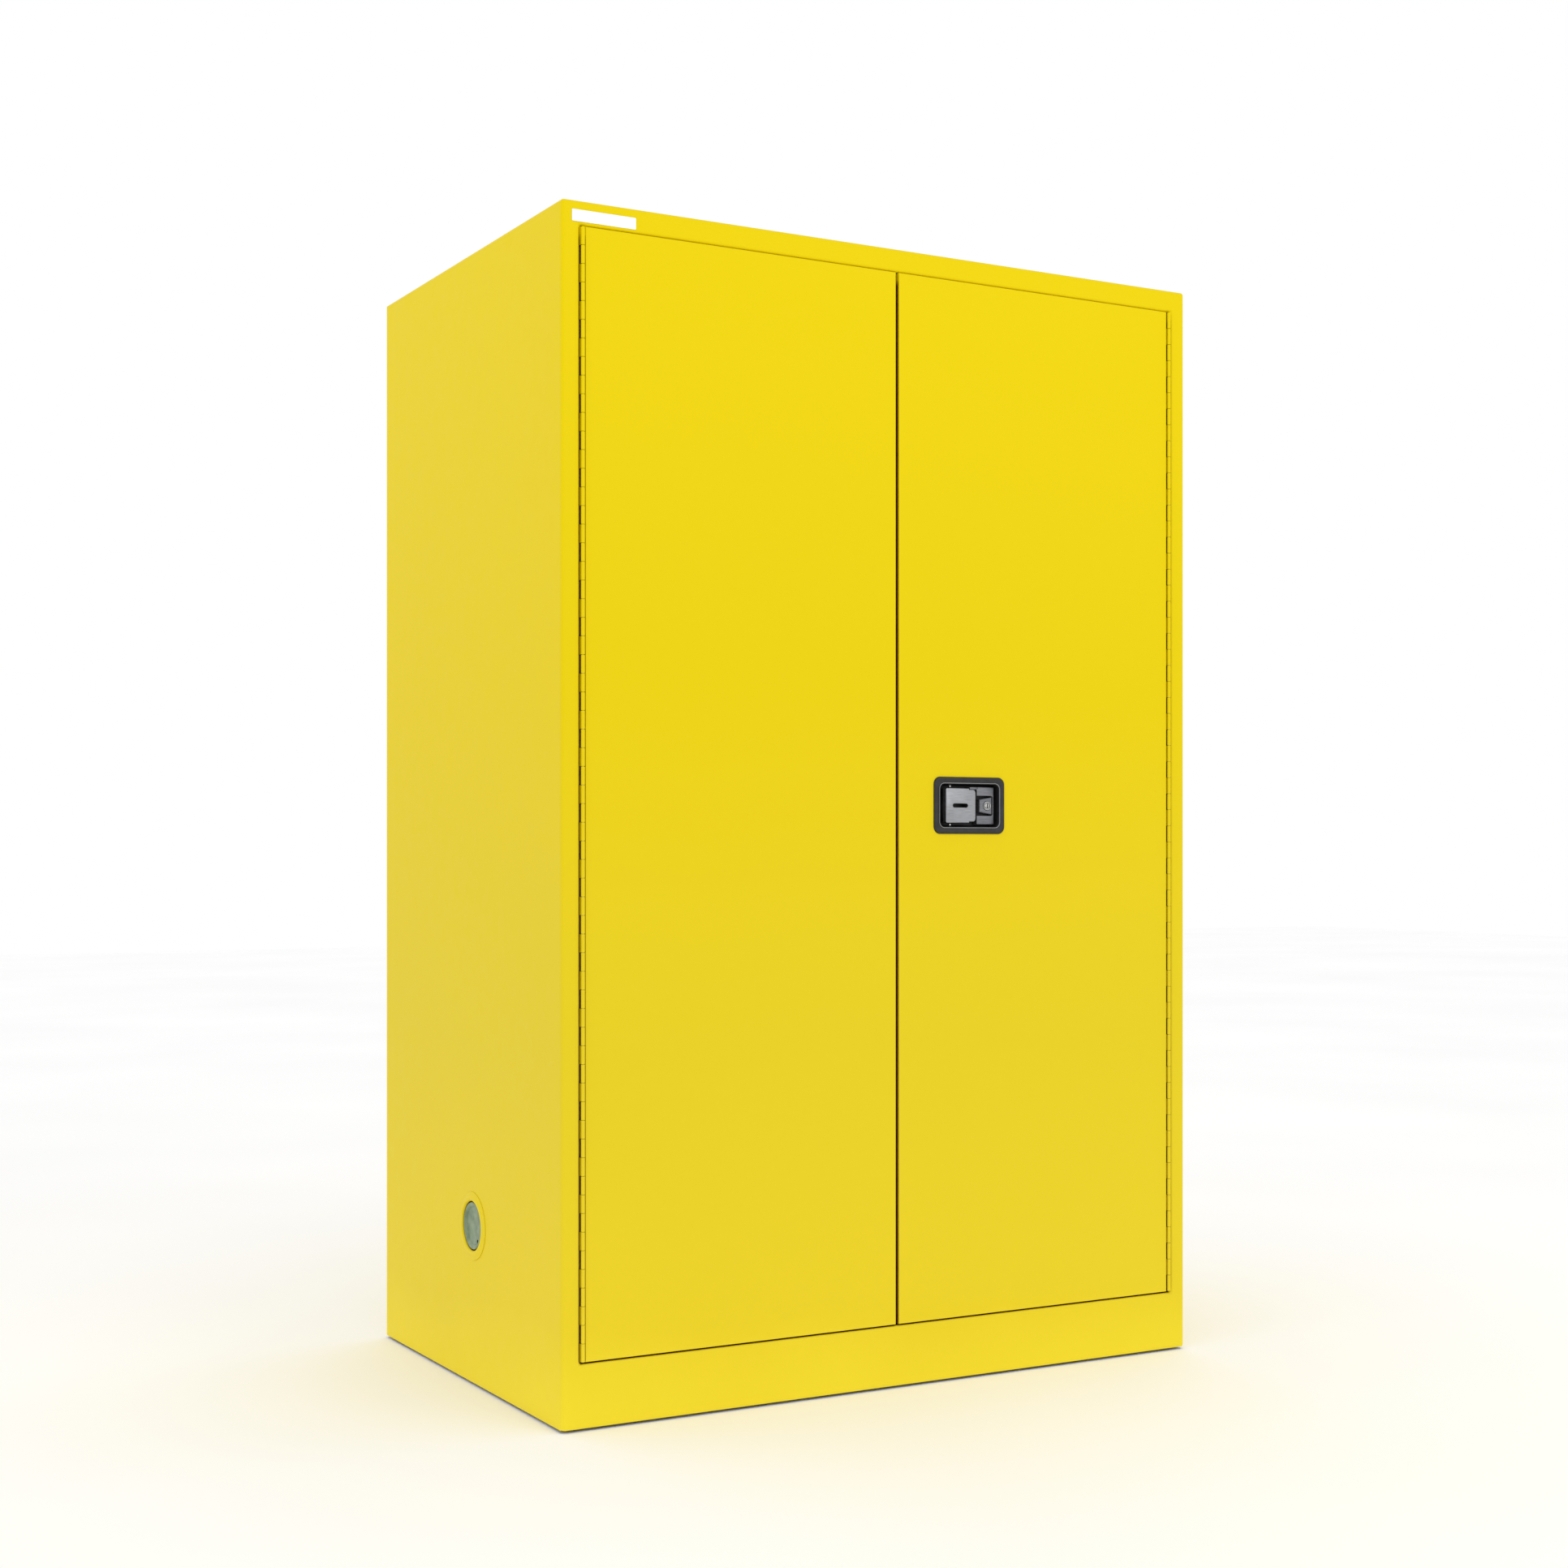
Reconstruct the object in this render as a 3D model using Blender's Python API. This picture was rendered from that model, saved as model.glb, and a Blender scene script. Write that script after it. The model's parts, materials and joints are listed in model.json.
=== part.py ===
"""Flammable storage cabinet: a double-walled steel cupboard with two doors and a three-point paddle latch.

Metres, +Z up, +X to the right, the doors face -Y. The origin is under the middle of the cabinet.
"""
import math

import bmesh
import bpy
from mathutils import Matrix, Vector

# Overall sizes
WIDTH = 1.058
DEPTH = 0.693
HEIGHT = 1.650

# Sheet metal
SHEET = 0.0012
BEND = 0.0025
WALL = 0.038
FIT = 0.0003
FLOOR_GAP = 0.004

# Door opening
STILE = 0.0265
HEADER = 0.033
KICK = 0.0905
STOP = 0.0105
REAR_FLANGE = 0.022

# Doors
DOOR_THICK = 0.038
DOOR_SET_BACK = 0.0035
DOOR_SIDE_GAP = 0.008
DOOR_TOP_GAP = 0.0008
DOOR_BOTTOM_GAP = 0.002
SPLIT = 0.0052
DOOR_LIP = 0.014
ASTRAGAL_REACH = 0.014
ASTRAGAL_END = 0.016

# Continuous hinges
BARREL_R = 0.0028
PIN_R = 0.0012
PIN_CLEAR = 0.0004
PIN_PROUD = 0.0007
KNUCKLES = 15
KNUCKLE_GAP = 0.0005
HINGE_END = 0.0008
LEAF_DEPTH = 0.026

# Floor, base and feet
BASE_Z = 0.024
SUMP_Z = 0.050
SUMP_RISE = 0.050
FOOT_R = 0.019
FOOT_PAD = 0.008
STUD_R = 0.005
STUD_TOP = 0.044
FOOT_INSET = 0.075
HOLE_CLEAR = 0.0006

# Shelves
SHELF_HEIGHTS = (0.560, 1.060)
SHELF_LIP = 0.030
SHELF_RETURN = 0.010
SHELF_FRONT = 0.070
SHELF_BACK = 0.025
STANDARD_WIDTH = 0.025
STANDARD_DEPTH = 0.009
STANDARD_ENDS = 0.030
STANDARD_FRONT = 0.110
STANDARD_BACK = 0.075
SLOT_PITCH = 0.080
SLOT_SIZE = (0.008, 0.022)
HANGER_LEG = 0.022
HOOK_HEIGHT = 0.010

# Vents
VENT_BACK = 0.320
VENT_LOW = 0.232
VENT_BORE_R = 0.036
VENT_WALL = 0.002
VENT_RIM = 0.012
VENT_PROUD = 0.0025
CAP_RECESS = 0.0015
CAP_DEPTH = 0.012
CAP_CLEAR = 0.0005
ARRESTER_DEPTH = 0.006

# Three-point latch, in the right door
LATCH_X = 0.1247
LATCH_Z = 0.845
BEZEL_W = 0.125
BEZEL_H = 0.084
BEZEL_R = 0.011
BEZEL_RIM = 0.0105
BEZEL_PROUD = 0.003
DISH_R = 0.008
DISH_DEPTH = 0.018
DISH_SHEET = 0.0015
PADDLE_W = 0.0526
PADDLE_H = 0.0515
PADDLE_LEFT = -0.0392
PADDLE_FACE = 0.002
PADDLE_SKIRT = 0.0095
PIVOT_X = -0.030
PIVOT_R = 0.002
SPRING_R = 0.003
SPRING_WIRE = 0.0005
SPRING_TURNS = 5
SPRING_START = 0.006
PADDLE_SLOT = (0.027, 0.0062)
FINGER_OPENING = (-0.043, -0.027, 0.014)
PLATE_LEFT = 0.0175
PLATE_RIGHT = 0.0478
PLATE_H = 0.055
PLATE_FACE = 0.0055
RECESS_H = 0.030
RECESS_RIGHT = 0.0455
HOUSING_W = 0.0215
HOUSING_ENDS = (0.019, 0.026)
HOUSING_SET_BACK = 0.0015
LOCK_X = 0.0368
PLUG_R = 0.0068
KEYWAY = (0.0016, 0.0075)
CAM_R = 0.018
CAM_Y = 0.0225
CAM_SHEET = 0.0025
ARM_END = 0.004
CAM_PIVOT_R = 0.003
CAM_START = math.radians(20)
STUD = 0.0018
ROD_R = 0.0035
ROD_Y = 0.0312
ROD_ENGAGE = 0.011
ROD_TAB = 0.0022
TAB_BAR = 0.003
STUD_PLAY = 0.0007
BOLT_REACH = 0.011
GUIDE_INSET = 0.120

# Ground stud and label
GROUND_R = 0.004
GROUND_OUT = 0.014
NUT_R = 0.0085
NUT_DEPTH = 0.006
GROUND_Z = 0.120
GROUND_INSET = 0.099
LABEL_SIZE = (0.095, 0.016)
LABEL_THICK = 0.0004
LABEL_X = 0.0145
LABEL_TOP = 0.0125

ROUND = 24
SMALL_ROUND = 12
FAR_CUT = 0.01

# Places worked out from the sizes above
FRONT_PROUD = BARREL_R + PIN_PROUD
FRONT = -DEPTH / 2 + (FRONT_PROUD - GROUND_OUT) / 2
BACK = FRONT + DEPTH
HALF = WIDTH / 2
JAMB = DOOR_THICK + DOOR_SET_BACK
SKIN_TOP = HEIGHT - SHEET - FIT
DOOR_TOP = HEIGHT - HEADER - DOOR_TOP_GAP
DOOR_BOTTOM = KICK + DOOR_BOTTOM_GAP
DOOR_EDGE = HALF - STILE - DOOR_SIDE_GAP
PIN_X = HALF - STILE - DOOR_SIDE_GAP / 2
PIN_Y = FRONT - PIN_PROUD
HINGE_LOW = DOOR_BOTTOM + HINGE_END
HINGE_HIGH = DOOR_TOP - HINGE_END
VENT_HIGH = HEIGHT - VENT_LOW
VENT_TUBE_R = VENT_BORE_R + VENT_WALL
VENT_FLANGE_R = VENT_TUBE_R + VENT_RIM
GROUND_X = HALF - GROUND_INSET
LINER_X = HALF - WALL
LINER_TOP = HEIGHT - WALL
LINER_FRONT = FRONT + JAMB + FIT
LINER_BACK = BACK - WALL
SHELF_X = LINER_X - STANDARD_DEPTH - 2 * SHEET - 3 * FIT


def clear_scene():
    """Start from an empty scene."""
    for thing in list(bpy.data.objects):
        bpy.data.objects.remove(thing, do_unlink=True)


def finish(name, colour, roughness, metallic):
    """A Principled material."""
    material = bpy.data.materials.get(name) or bpy.data.materials.new(name)
    material.use_nodes = True
    shader = material.node_tree.nodes["Principled BSDF"]
    shader.inputs["Base Color"].default_value = (*colour, 1.0)
    shader.inputs["Roughness"].default_value = roughness
    shader.inputs["Metallic"].default_value = metallic
    return material


def yellow_paint():
    return finish("yellow_paint", (0.84, 0.66, 0.01), 0.35, 0.0)


def galvanised():
    return finish("galvanised_steel", (0.55, 0.57, 0.58), 0.4, 0.9)


def black_coat():
    return finish("black_coat", (0.03, 0.03, 0.032), 0.35, 0.2)


def satin_steel():
    return finish("satin_steel", (0.5, 0.5, 0.51), 0.3, 0.9)


def plated_steel():
    return finish("plated_steel", (0.6, 0.6, 0.58), 0.3, 1.0)


def plug_metal():
    return finish("plug_metal", (0.2, 0.25, 0.19), 0.35, 0.8)


def mesh_wire():
    return finish("mesh_wire", (0.3, 0.3, 0.3), 0.5, 0.9)


def white_label():
    return finish("white_label", (0.85, 0.85, 0.84), 0.5, 0.0)


def black_rubber():
    return finish("black_rubber", (0.03, 0.03, 0.03), 0.8, 0.0)


def new_object(name, mesh, material, origin=(0, 0, 0)):
    """Link a mesh as an object whose origin is moved to a given point."""
    mesh.transform(Matrix.Translation(-Vector(origin)))
    if material:
        mesh.materials.append(material)
    thing = bpy.data.objects.new(name, mesh)
    thing.location = origin
    bpy.context.scene.collection.objects.link(thing)
    return thing


def from_bmesh(name, bm, material, origin=(0, 0, 0), smooth=False):
    """Turn a bmesh into an object with its faces pointing out."""
    bmesh.ops.recalc_face_normals(bm, faces=bm.faces)
    mesh = bpy.data.meshes.new(name)
    bm.to_mesh(mesh)
    bm.free()
    if smooth:
        mesh.shade_smooth()
        mesh.set_sharp_from_angle(angle=math.radians(35))
    return new_object(name, mesh, material, origin)


def add_box(bm, low, high):
    """Add a box between two corners."""
    size = Vector(high) - Vector(low)
    middle = (Vector(high) + Vector(low)) / 2
    place = Matrix.Translation(middle) @ Matrix.Diagonal((*size, 1.0))
    bmesh.ops.create_cube(bm, size=1.0, matrix=place)


def box(name, low, high, material, origin=(0, 0, 0)):
    bm = bmesh.new()
    add_box(bm, low, high)
    return from_bmesh(name, bm, material, origin)


def axis_turn(axis):
    """The turn that takes +Z to an axis."""
    return Vector((0, 0, 1)).rotation_difference(Vector(axis)).to_matrix().to_4x4()


def add_cylinder(bm, centre, axis, radius, length, steps=SMALL_ROUND):
    """Add a cylinder that starts at a point and runs along an axis."""
    place = Matrix.Translation(centre) @ axis_turn(axis) @ Matrix.Translation((0, 0, length / 2))
    bmesh.ops.create_cone(
        bm, cap_ends=True, segments=steps, radius1=radius, radius2=radius, depth=length, matrix=place
    )


def extrude_outline(bm, outline, direction):
    """Add the solid swept by a flat outline of points along a straight direction."""
    first = [bm.verts.new(point) for point in outline]
    face = bm.faces.new(first)
    swept = bmesh.ops.extrude_face_region(bm, geom=[face])
    moved = [item for item in swept["geom"] if isinstance(item, bmesh.types.BMVert)]
    bmesh.ops.translate(bm, vec=direction, verts=moved)


def corner_arc(before, corner, after, radius, steps=3):
    """Points of a rounded corner of a flat path."""
    into = (Vector(before) - Vector(corner)).normalized()
    out = (Vector(after) - Vector(corner)).normalized()
    centre = Vector(corner) + (into + out) * radius
    start = Vector(corner) + into * radius - centre
    end = Vector(corner) + out * radius - centre
    points = []
    for step in range(steps + 1):
        share = step / steps * math.pi / 2
        points.append(centre + start * math.cos(share) + end * math.sin(share))
    return points


def sheet_outline(path, left):
    """Outline of a bent sheet; the path is its outer face and the metal lies to its left or right."""
    side = 1 if left else -1
    path = [Vector(point) for point in path]
    outer, inner = [path[0]], []
    normals = []
    for first, second in zip(path, path[1:]):
        run = (second - first).normalized()
        normals.append(Vector((-run.y, run.x)) * side)
    inner.append(path[0] + normals[0] * SHEET)
    for index in range(1, len(path) - 1):
        before, corner, after = path[index - 1], path[index], path[index + 1]
        offset = normals[index - 1] + normals[index]
        inward = (after - corner).dot(normals[index - 1]) > 0
        outer_r = BEND if inward else BEND - SHEET
        inner_r = BEND - SHEET if inward else BEND
        shift = offset * SHEET
        outer += corner_arc(before, corner, after, outer_r)
        inner += corner_arc(before + shift, corner + shift, after + shift, inner_r)
    outer.append(path[-1])
    inner.append(path[-1] + normals[-1] * SHEET)
    return outer + inner[::-1]


def bent_sheet(name, path, left, place, direction, material):
    """A folded sheet: a flat path, a function that places its points, and the sweep."""
    bm = bmesh.new()
    extrude_outline(bm, [place(point) for point in sheet_outline(path, left)], direction)
    return from_bmesh(name, bm, material, smooth=True)


def cutter(name, bm):
    """A hidden shape that cuts or joins another."""
    thing = from_bmesh(name, bm, None)
    thing.hide_render = True
    thing.display_type = "WIRE"
    return thing


def combine(target, other, operation):
    modifier = target.modifiers.new(other.name, "BOOLEAN")
    modifier.object = other
    modifier.operation = operation
    modifier.solver = "EXACT"
    return modifier


def cut(target, other):
    combine(target, other, "DIFFERENCE")


def join(target, other):
    """Weld one shape to another; the joined shape's own pieces may overlap."""
    combine(target, other, "UNION").use_self = True


def ring(name, profile, centre, axis, material, steps=ROUND, origin=(0, 0, 0)):
    """A turned ring: a closed profile of (radius, height) spun round an axis."""
    bm = bmesh.new()
    loop = [bm.verts.new((radius, 0, height)) for radius, height in profile]
    edges = [bm.edges.new((a, b)) for a, b in zip(loop, loop[1:] + loop[:1])]
    bmesh.ops.spin(
        bm, geom=loop + edges, cent=(0, 0, 0), axis=(0, 0, 1), angle=math.tau, steps=steps, use_merge=True
    )
    bmesh.ops.remove_doubles(bm, verts=bm.verts, dist=1e-5)
    bm.transform(Matrix.Translation(centre) @ axis_turn(axis))
    return from_bmesh(name, bm, material, origin, smooth=True)


def rounded_rectangle(width, height, radius, steps=4):
    """Points of a rectangle with round corners, centred on nothing, counter-clockwise."""
    points = []
    for quarter, (sx, sy) in enumerate(((1, -1), (1, 1), (-1, 1), (-1, -1))):
        centre = Vector((sx * (width / 2 - radius), sy * (height / 2 - radius)))
        for step in range(steps + 1):
            angle = math.radians(-90 + 90 * quarter + 90 * step / steps)
            points.append(centre + Vector((math.cos(angle), math.sin(angle))) * radius)
    return points


# ---- Case -------------------------------------------------------------------------------------


def outer_side(side):
    """A side panel folded at the rear flange, the stile, the jamb and the door stop."""
    name = "outer_left_side" if side < 0 else "outer_right_side"
    edge = HALF
    path = [
        (edge - REAR_FLANGE, BACK),
        (edge, BACK),
        (edge, FRONT),
        (edge - STILE, FRONT),
        (edge - STILE, FRONT + JAMB),
        (edge - STILE - STOP, FRONT + JAMB),
    ]
    panel = bent_sheet(
        name,
        path,
        False,
        lambda point: (side * point.x, point.y, FLOOR_GAP),
        (0, 0, SKIN_TOP - FLOOR_GAP),
        yellow_paint(),
    )
    cut(panel, vent_cutter(name, side, VENT_TUBE_R + FIT))
    return panel


def vent_cutter(name, side, radius):
    bm = bmesh.new()
    start = (side * (HALF + 0.01), FRONT + VENT_BACK, VENT_LOW if side < 0 else VENT_HIGH)
    add_cylinder(bm, start, (-side, 0, 0), radius, WALL + 0.02, ROUND)
    return cutter(name + "_vent_hole", bm)


def front_rails():
    """Header over the doors and kick plate under them, folded into the door stops."""
    run = (2 * (HALF - STILE - FIT), 0, 0)
    header = [
        (FRONT, SKIN_TOP),
        (FRONT, HEIGHT - HEADER),
        (FRONT + JAMB - BEND, HEIGHT - HEADER),
    ]
    kick = [
        (FRONT, FLOOR_GAP),
        (FRONT, KICK),
        (FRONT + JAMB - BEND, KICK),
    ]
    left = -(HALF - STILE - FIT)
    rail = bent_sheet(
        "header_rail", header, True, lambda p: (left, p.x, p.y), run, yellow_paint()
    )
    bm = bmesh.new()
    add_cylinder(bm, (top_rod_x(), FRONT + ROD_Y, DOOR_TOP - 0.005), (0, 0, 1), ROD_R + HOLE_CLEAR, 0.03)
    cut(rail, cutter("top_strike_hole", bm))
    sill = bent_sheet(
        "kick_plate", kick, False, lambda p: (left, p.x, p.y), run, yellow_paint()
    )
    bm = bmesh.new()
    add_cylinder(bm, (bottom_rod_x(), FRONT + ROD_Y, KICK - 0.02), (0, 0, 1), ROD_R + HOLE_CLEAR, 0.03)
    cut(sill, cutter("bottom_strike_hole", bm))
    stop_x = HALF - STILE - STOP - FIT
    low = FRONT + JAMB
    box(
        "header_stop",
        (-stop_x, low, HEIGHT - HEADER - STOP),
        (stop_x, low + SHEET, SKIN_TOP),
        yellow_paint(),
    )
    box("sill_stop", (-stop_x, low, SUMP_Z), (stop_x, low + SHEET, KICK + STOP), yellow_paint())


def outer_panels():
    """Top, back and base plates."""
    bm = bmesh.new()
    add_box(bm, (-HALF, FRONT, HEIGHT - SHEET), (HALF, BACK, HEIGHT))
    upright = [e for e in bm.edges if abs(e.verts[0].co.z - e.verts[1].co.z) > SHEET / 2]
    bmesh.ops.bevel(bm, geom=upright, offset=BEND, segments=3, profile=0.5, affect="EDGES")
    from_bmesh("outer_top", bm, yellow_paint())
    inner = HALF - BEND
    near = BACK - SHEET - FIT
    panel = box(
        "outer_back", (-inner, near - SHEET, FLOOR_GAP), (inner, near, SKIN_TOP), yellow_paint()
    )
    bm = bmesh.new()
    add_cylinder(bm, (GROUND_X, near - 0.01, GROUND_Z), (0, 1, 0), GROUND_R + FIT, 0.02)
    cut(panel, cutter("ground_hole", bm))
    base = box(
        "outer_base",
        (-inner, FRONT + JAMB + SHEET + FIT, BASE_Z),
        (inner, near - SHEET - FIT, BASE_Z + SHEET),
        yellow_paint(),
    )
    bm = bmesh.new()
    for _, x, y in foot_places():
        add_cylinder(bm, (x, y, BASE_Z - 0.01), (0, 0, 1), STUD_R + HOLE_CLEAR, 0.02)
    cut(base, cutter("foot_holes", bm))


def liners():
    """The inner skins and the leak-tight sump."""
    low = SUMP_Z - SHEET
    rear = LINER_BACK + SHEET
    for side, name in ((-1, "liner_left"), (1, "liner_right")):
        start, end = sorted((side * LINER_X, side * (LINER_X + SHEET)))
        front = LINER_FRONT + SHEET
        plate = box(name, (start, front, low), (end, rear, LINER_TOP), yellow_paint())
        cut(plate, vent_cutter(name, side, VENT_TUBE_R + FIT))
    across = LINER_X - FIT
    box("liner_back", (-across, LINER_BACK, low), (across, rear, LINER_TOP), yellow_paint())
    roof = LINER_TOP + FIT
    wide = LINER_X + SHEET
    front = LINER_FRONT + SHEET
    box("liner_top", (-wide, front, roof), (wide, rear, roof + SHEET), yellow_paint())
    sump_pan(across - FIT, front, LINER_BACK - FIT, low)


def sump_pan(half, front, rear, low):
    """A tray with upstands all round, open at the top."""
    bm = bmesh.new()
    add_box(bm, (-half, front, low), (half, rear, SUMP_Z + SUMP_RISE))
    top = max(bm.faces, key=lambda face: face.calc_center_median().z)
    bmesh.ops.inset_individual(bm, faces=[top], thickness=SHEET)
    swept = bmesh.ops.extrude_face_region(bm, geom=[top])
    moved = [item for item in swept["geom"] if isinstance(item, bmesh.types.BMVert)]
    bmesh.ops.translate(bm, vec=(0, 0, -SUMP_RISE), verts=moved)
    bmesh.ops.delete(bm, geom=[top], context="FACES")
    from_bmesh("sump_pan", bm, yellow_paint())


def foot_places():
    """Name and centre of each levelling foot."""
    for row, y in (("front", FRONT + FOOT_INSET), ("rear", BACK - FOOT_INSET)):
        for side, x in (("left", -HALF + FOOT_INSET), ("right", HALF - FOOT_INSET)):
            yield f"levelling_foot_{row}_{side}", x, y


def levelling_feet():
    """Screw feet: a round pad under a stud, one closed turned shape each."""
    for name, x, y in foot_places():
        bm = bmesh.new()
        add_cylinder(bm, (x, y, 0), (0, 0, 1), FOOT_R, FOOT_PAD, SMALL_ROUND)
        foot = from_bmesh(name, bm, black_rubber(), (x, y, 0), smooth=True)
        bm = bmesh.new()
        add_cylinder(bm, (x, y, FOOT_PAD / 2), (0, 0, 1), STUD_R, STUD_TOP - FOOT_PAD / 2, SMALL_ROUND)
        join(foot, cutter(name + "_stud", bm))


def ground_point():
    """Earthing stud through the back, with its nut."""
    back = BACK - SHEET - FIT
    bm = bmesh.new()
    reach = GROUND_OUT + SHEET + FIT + 0.006
    add_cylinder(bm, (GROUND_X, back - SHEET - 0.006 + SHEET, GROUND_Z), (0, 1, 0), GROUND_R, reach)
    from_bmesh("ground_stud", bm, plated_steel(), smooth=True)
    bm = bmesh.new()
    add_cylinder(bm, (GROUND_X, back + FIT, GROUND_Z), (0, 1, 0), NUT_R, NUT_DEPTH, 6)
    nut = from_bmesh("ground_nut", bm, plated_steel())
    bm = bmesh.new()
    add_cylinder(bm, (GROUND_X, back - FIT, GROUND_Z), (0, 1, 0), GROUND_R + FIT, 2 * NUT_DEPTH)
    cut(nut, cutter("nut_bore", bm))


def label():
    """Blank white plate on the header corner."""
    left = -HALF + LABEL_X
    top = HEIGHT - LABEL_TOP
    near = FRONT - FIT
    box(
        "label_plate",
        (left, near - LABEL_THICK, top - LABEL_SIZE[1]),
        (left + LABEL_SIZE[0], near, top),
        white_label(),
    )


# ---- Vents ------------------------------------------------------------------------------------


def vent(side):
    """Flanged tube through both skins, with its flame arrester and its screw-in cap."""
    word = "left" if side < 0 else "right"
    height = VENT_LOW if side < 0 else VENT_HIGH
    face = (side * (HALF + FIT), FRONT + VENT_BACK, height)
    axis = (-side, 0, 0)
    flange = [
        (VENT_BORE_R, -VENT_PROUD * 0.6),
        (VENT_BORE_R + 0.001, -VENT_PROUD),
        (VENT_FLANGE_R - 0.004, -VENT_PROUD),
        (VENT_FLANGE_R, 0),
        (VENT_TUBE_R, 0),
        (VENT_TUBE_R, WALL + 0.004),
        (VENT_BORE_R, WALL + 0.004),
    ]
    ring(f"vent_flange_{word}", flange, face, axis, yellow_paint())
    radius = VENT_BORE_R - CAP_CLEAR
    cap = [
        (0, CAP_RECESS + 0.003),
        (radius - 0.006, CAP_RECESS + 0.003),
        (radius - 0.003, CAP_RECESS),
        (radius, CAP_RECESS),
        (radius, CAP_RECESS + CAP_DEPTH),
        (0, CAP_RECESS + CAP_DEPTH),
    ]
    disc(f"vent_cap_{word}", cap, face, axis, plug_metal(), origin=face)
    bar = bmesh.new()
    depth = CAP_RECESS + 0.0005
    inward = -side
    x0, x1 = sorted((face[0] + inward * depth, face[0] + inward * (depth + 0.004)))
    add_box(bar, (x0, face[1] - 0.004, height - 0.022), (x1, face[1] + 0.004, height + 0.022))
    join(bpy.data.objects[f"vent_cap_{word}"], cutter(f"cap_bar_{word}", bar))
    start = WALL - ARRESTER_DEPTH
    mesh = [(0, start), (radius, start), (radius, start + ARRESTER_DEPTH), (0, start + ARRESTER_DEPTH)]
    disc(f"flame_arrester_{word}", mesh, face, axis, mesh_wire())


def disc(name, profile, centre, axis, material, origin=(0, 0, 0)):
    """A solid of revolution whose profile starts and ends on the axis."""
    bm = bmesh.new()
    chain = [bm.verts.new((radius, 0, height)) for radius, height in profile]
    edges = [bm.edges.new((a, b)) for a, b in zip(chain, chain[1:])]
    bmesh.ops.spin(
        bm, geom=chain + edges, cent=(0, 0, 0), axis=(0, 0, 1), angle=math.tau, steps=ROUND, use_merge=True
    )
    bmesh.ops.remove_doubles(bm, verts=bm.verts, dist=1e-5)
    bm.transform(Matrix.Translation(centre) @ axis_turn(axis))
    return from_bmesh(name, bm, material, origin, smooth=True)


# ---- Shelves ----------------------------------------------------------------------------------


def standard_ys():
    return (("front", LINER_FRONT + STANDARD_FRONT), ("rear", LINER_BACK - STANDARD_BACK))


def shelf_standards():
    """Slotted channels on the inner side walls."""
    low = SUMP_Z + SUMP_RISE + STANDARD_ENDS
    high = LINER_TOP - STANDARD_ENDS
    for side, word in ((-1, "left"), (1, "right")):
        wall = LINER_X - FIT
        face = wall - STANDARD_DEPTH
        for row, y in standard_ys():
            name = f"shelf_standard_{word}_{row}"
            half = STANDARD_WIDTH / 2
            path = [(wall, y - half), (face, y - half), (face, y + half), (wall, y + half)]
            rail = bent_sheet(
                name,
                path,
                False,
                lambda p, side=side: (side * p.x, p.y, low),
                (0, 0, high - low),
                galvanised(),
            )
            cut(rail, slot_cutter(name, side, y, low, high))


def slot_heights(low, high):
    """Slot centres, counted from the shelves so that every hanger meets a slot."""
    base = SHELF_HEIGHTS[0] - HANGER_LEG
    first = base - math.floor((base - low - SLOT_PITCH / 2) / SLOT_PITCH) * SLOT_PITCH
    while first < high - SLOT_PITCH / 2:
        yield first
        first += SLOT_PITCH


def slot_cutter(name, side, y, low, high):
    """Slots on the pitch, and one behind each shelf's hook."""
    bm = bmesh.new()
    face = LINER_X - FIT - STANDARD_DEPTH
    heights = [z for z in slot_heights(low, high) if all(abs(z - hook_z(s)) > SLOT_PITCH / 2 for s in SHELF_HEIGHTS)]
    for z in heights + [hook_z(shelf) for shelf in SHELF_HEIGHTS]:
        x0, x1 = sorted((side * (face - 0.002), side * (face + 2 * SHEET)))
        add_box(
            bm,
            (x0, y - SLOT_SIZE[0] / 2, z - SLOT_SIZE[1] / 2),
            (x1, y + SLOT_SIZE[0] / 2, z + SLOT_SIZE[1] / 2),
        )
    return cutter(name + "_slots", bm)


def hook_z(shelf):
    return shelf - HANGER_LEG


def shelf_hangers():
    """Angles that hook into the standards and carry the shelf ends."""
    for index, height in enumerate(SHELF_HEIGHTS, 1):
        for side, word in ((-1, "left"), (1, "right")):
            web = LINER_X - STANDARD_DEPTH - 2 * FIT
            top = height - SHEET - FIT
            path = [(web, top - HANGER_LEG * 2), (web, top), (web - HANGER_LEG, top)]
            start = standard_ys()[0][1] - STANDARD_WIDTH
            end = standard_ys()[1][1] + STANDARD_WIDTH
            name = f"shelf_hanger_{index}_{word}"
            angle = bent_sheet(
                name,
                path,
                True,
                lambda p, side=side: (side * p.x, start, p.y),
                (0, end - start, 0),
                galvanised(),
            )
            bm = bmesh.new()
            for _, y in standard_ys():
                x0, x1 = sorted((side * (web - SHEET / 2), side * (web + 0.004)))
                z = hook_z(height)
                add_box(bm, (x0, y - SHEET, z - HOOK_HEIGHT / 2), (x1, y + SHEET, z + HOOK_HEIGHT / 2))
            join(angle, cutter(name + "_hooks", bm))


def shelves():
    """Lift-off trays, folded down and back at the front and the rear."""
    front = LINER_FRONT + SHELF_FRONT
    rear = LINER_BACK - SHELF_BACK
    for index, height in enumerate(SHELF_HEIGHTS, 1):
        path = [
            (front + SHELF_RETURN, height - SHELF_LIP),
            (front, height - SHELF_LIP),
            (front, height),
            (rear, height),
            (rear, height - SHELF_LIP),
            (rear - SHELF_RETURN, height - SHELF_LIP),
        ]
        bent_sheet(
            f"shelf_{index}", path, False, lambda p: (-SHELF_X, p.x, p.y), (2 * SHELF_X, 0, 0), galvanised()
        )


# ---- Doors ------------------------------------------------------------------------------------


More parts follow.
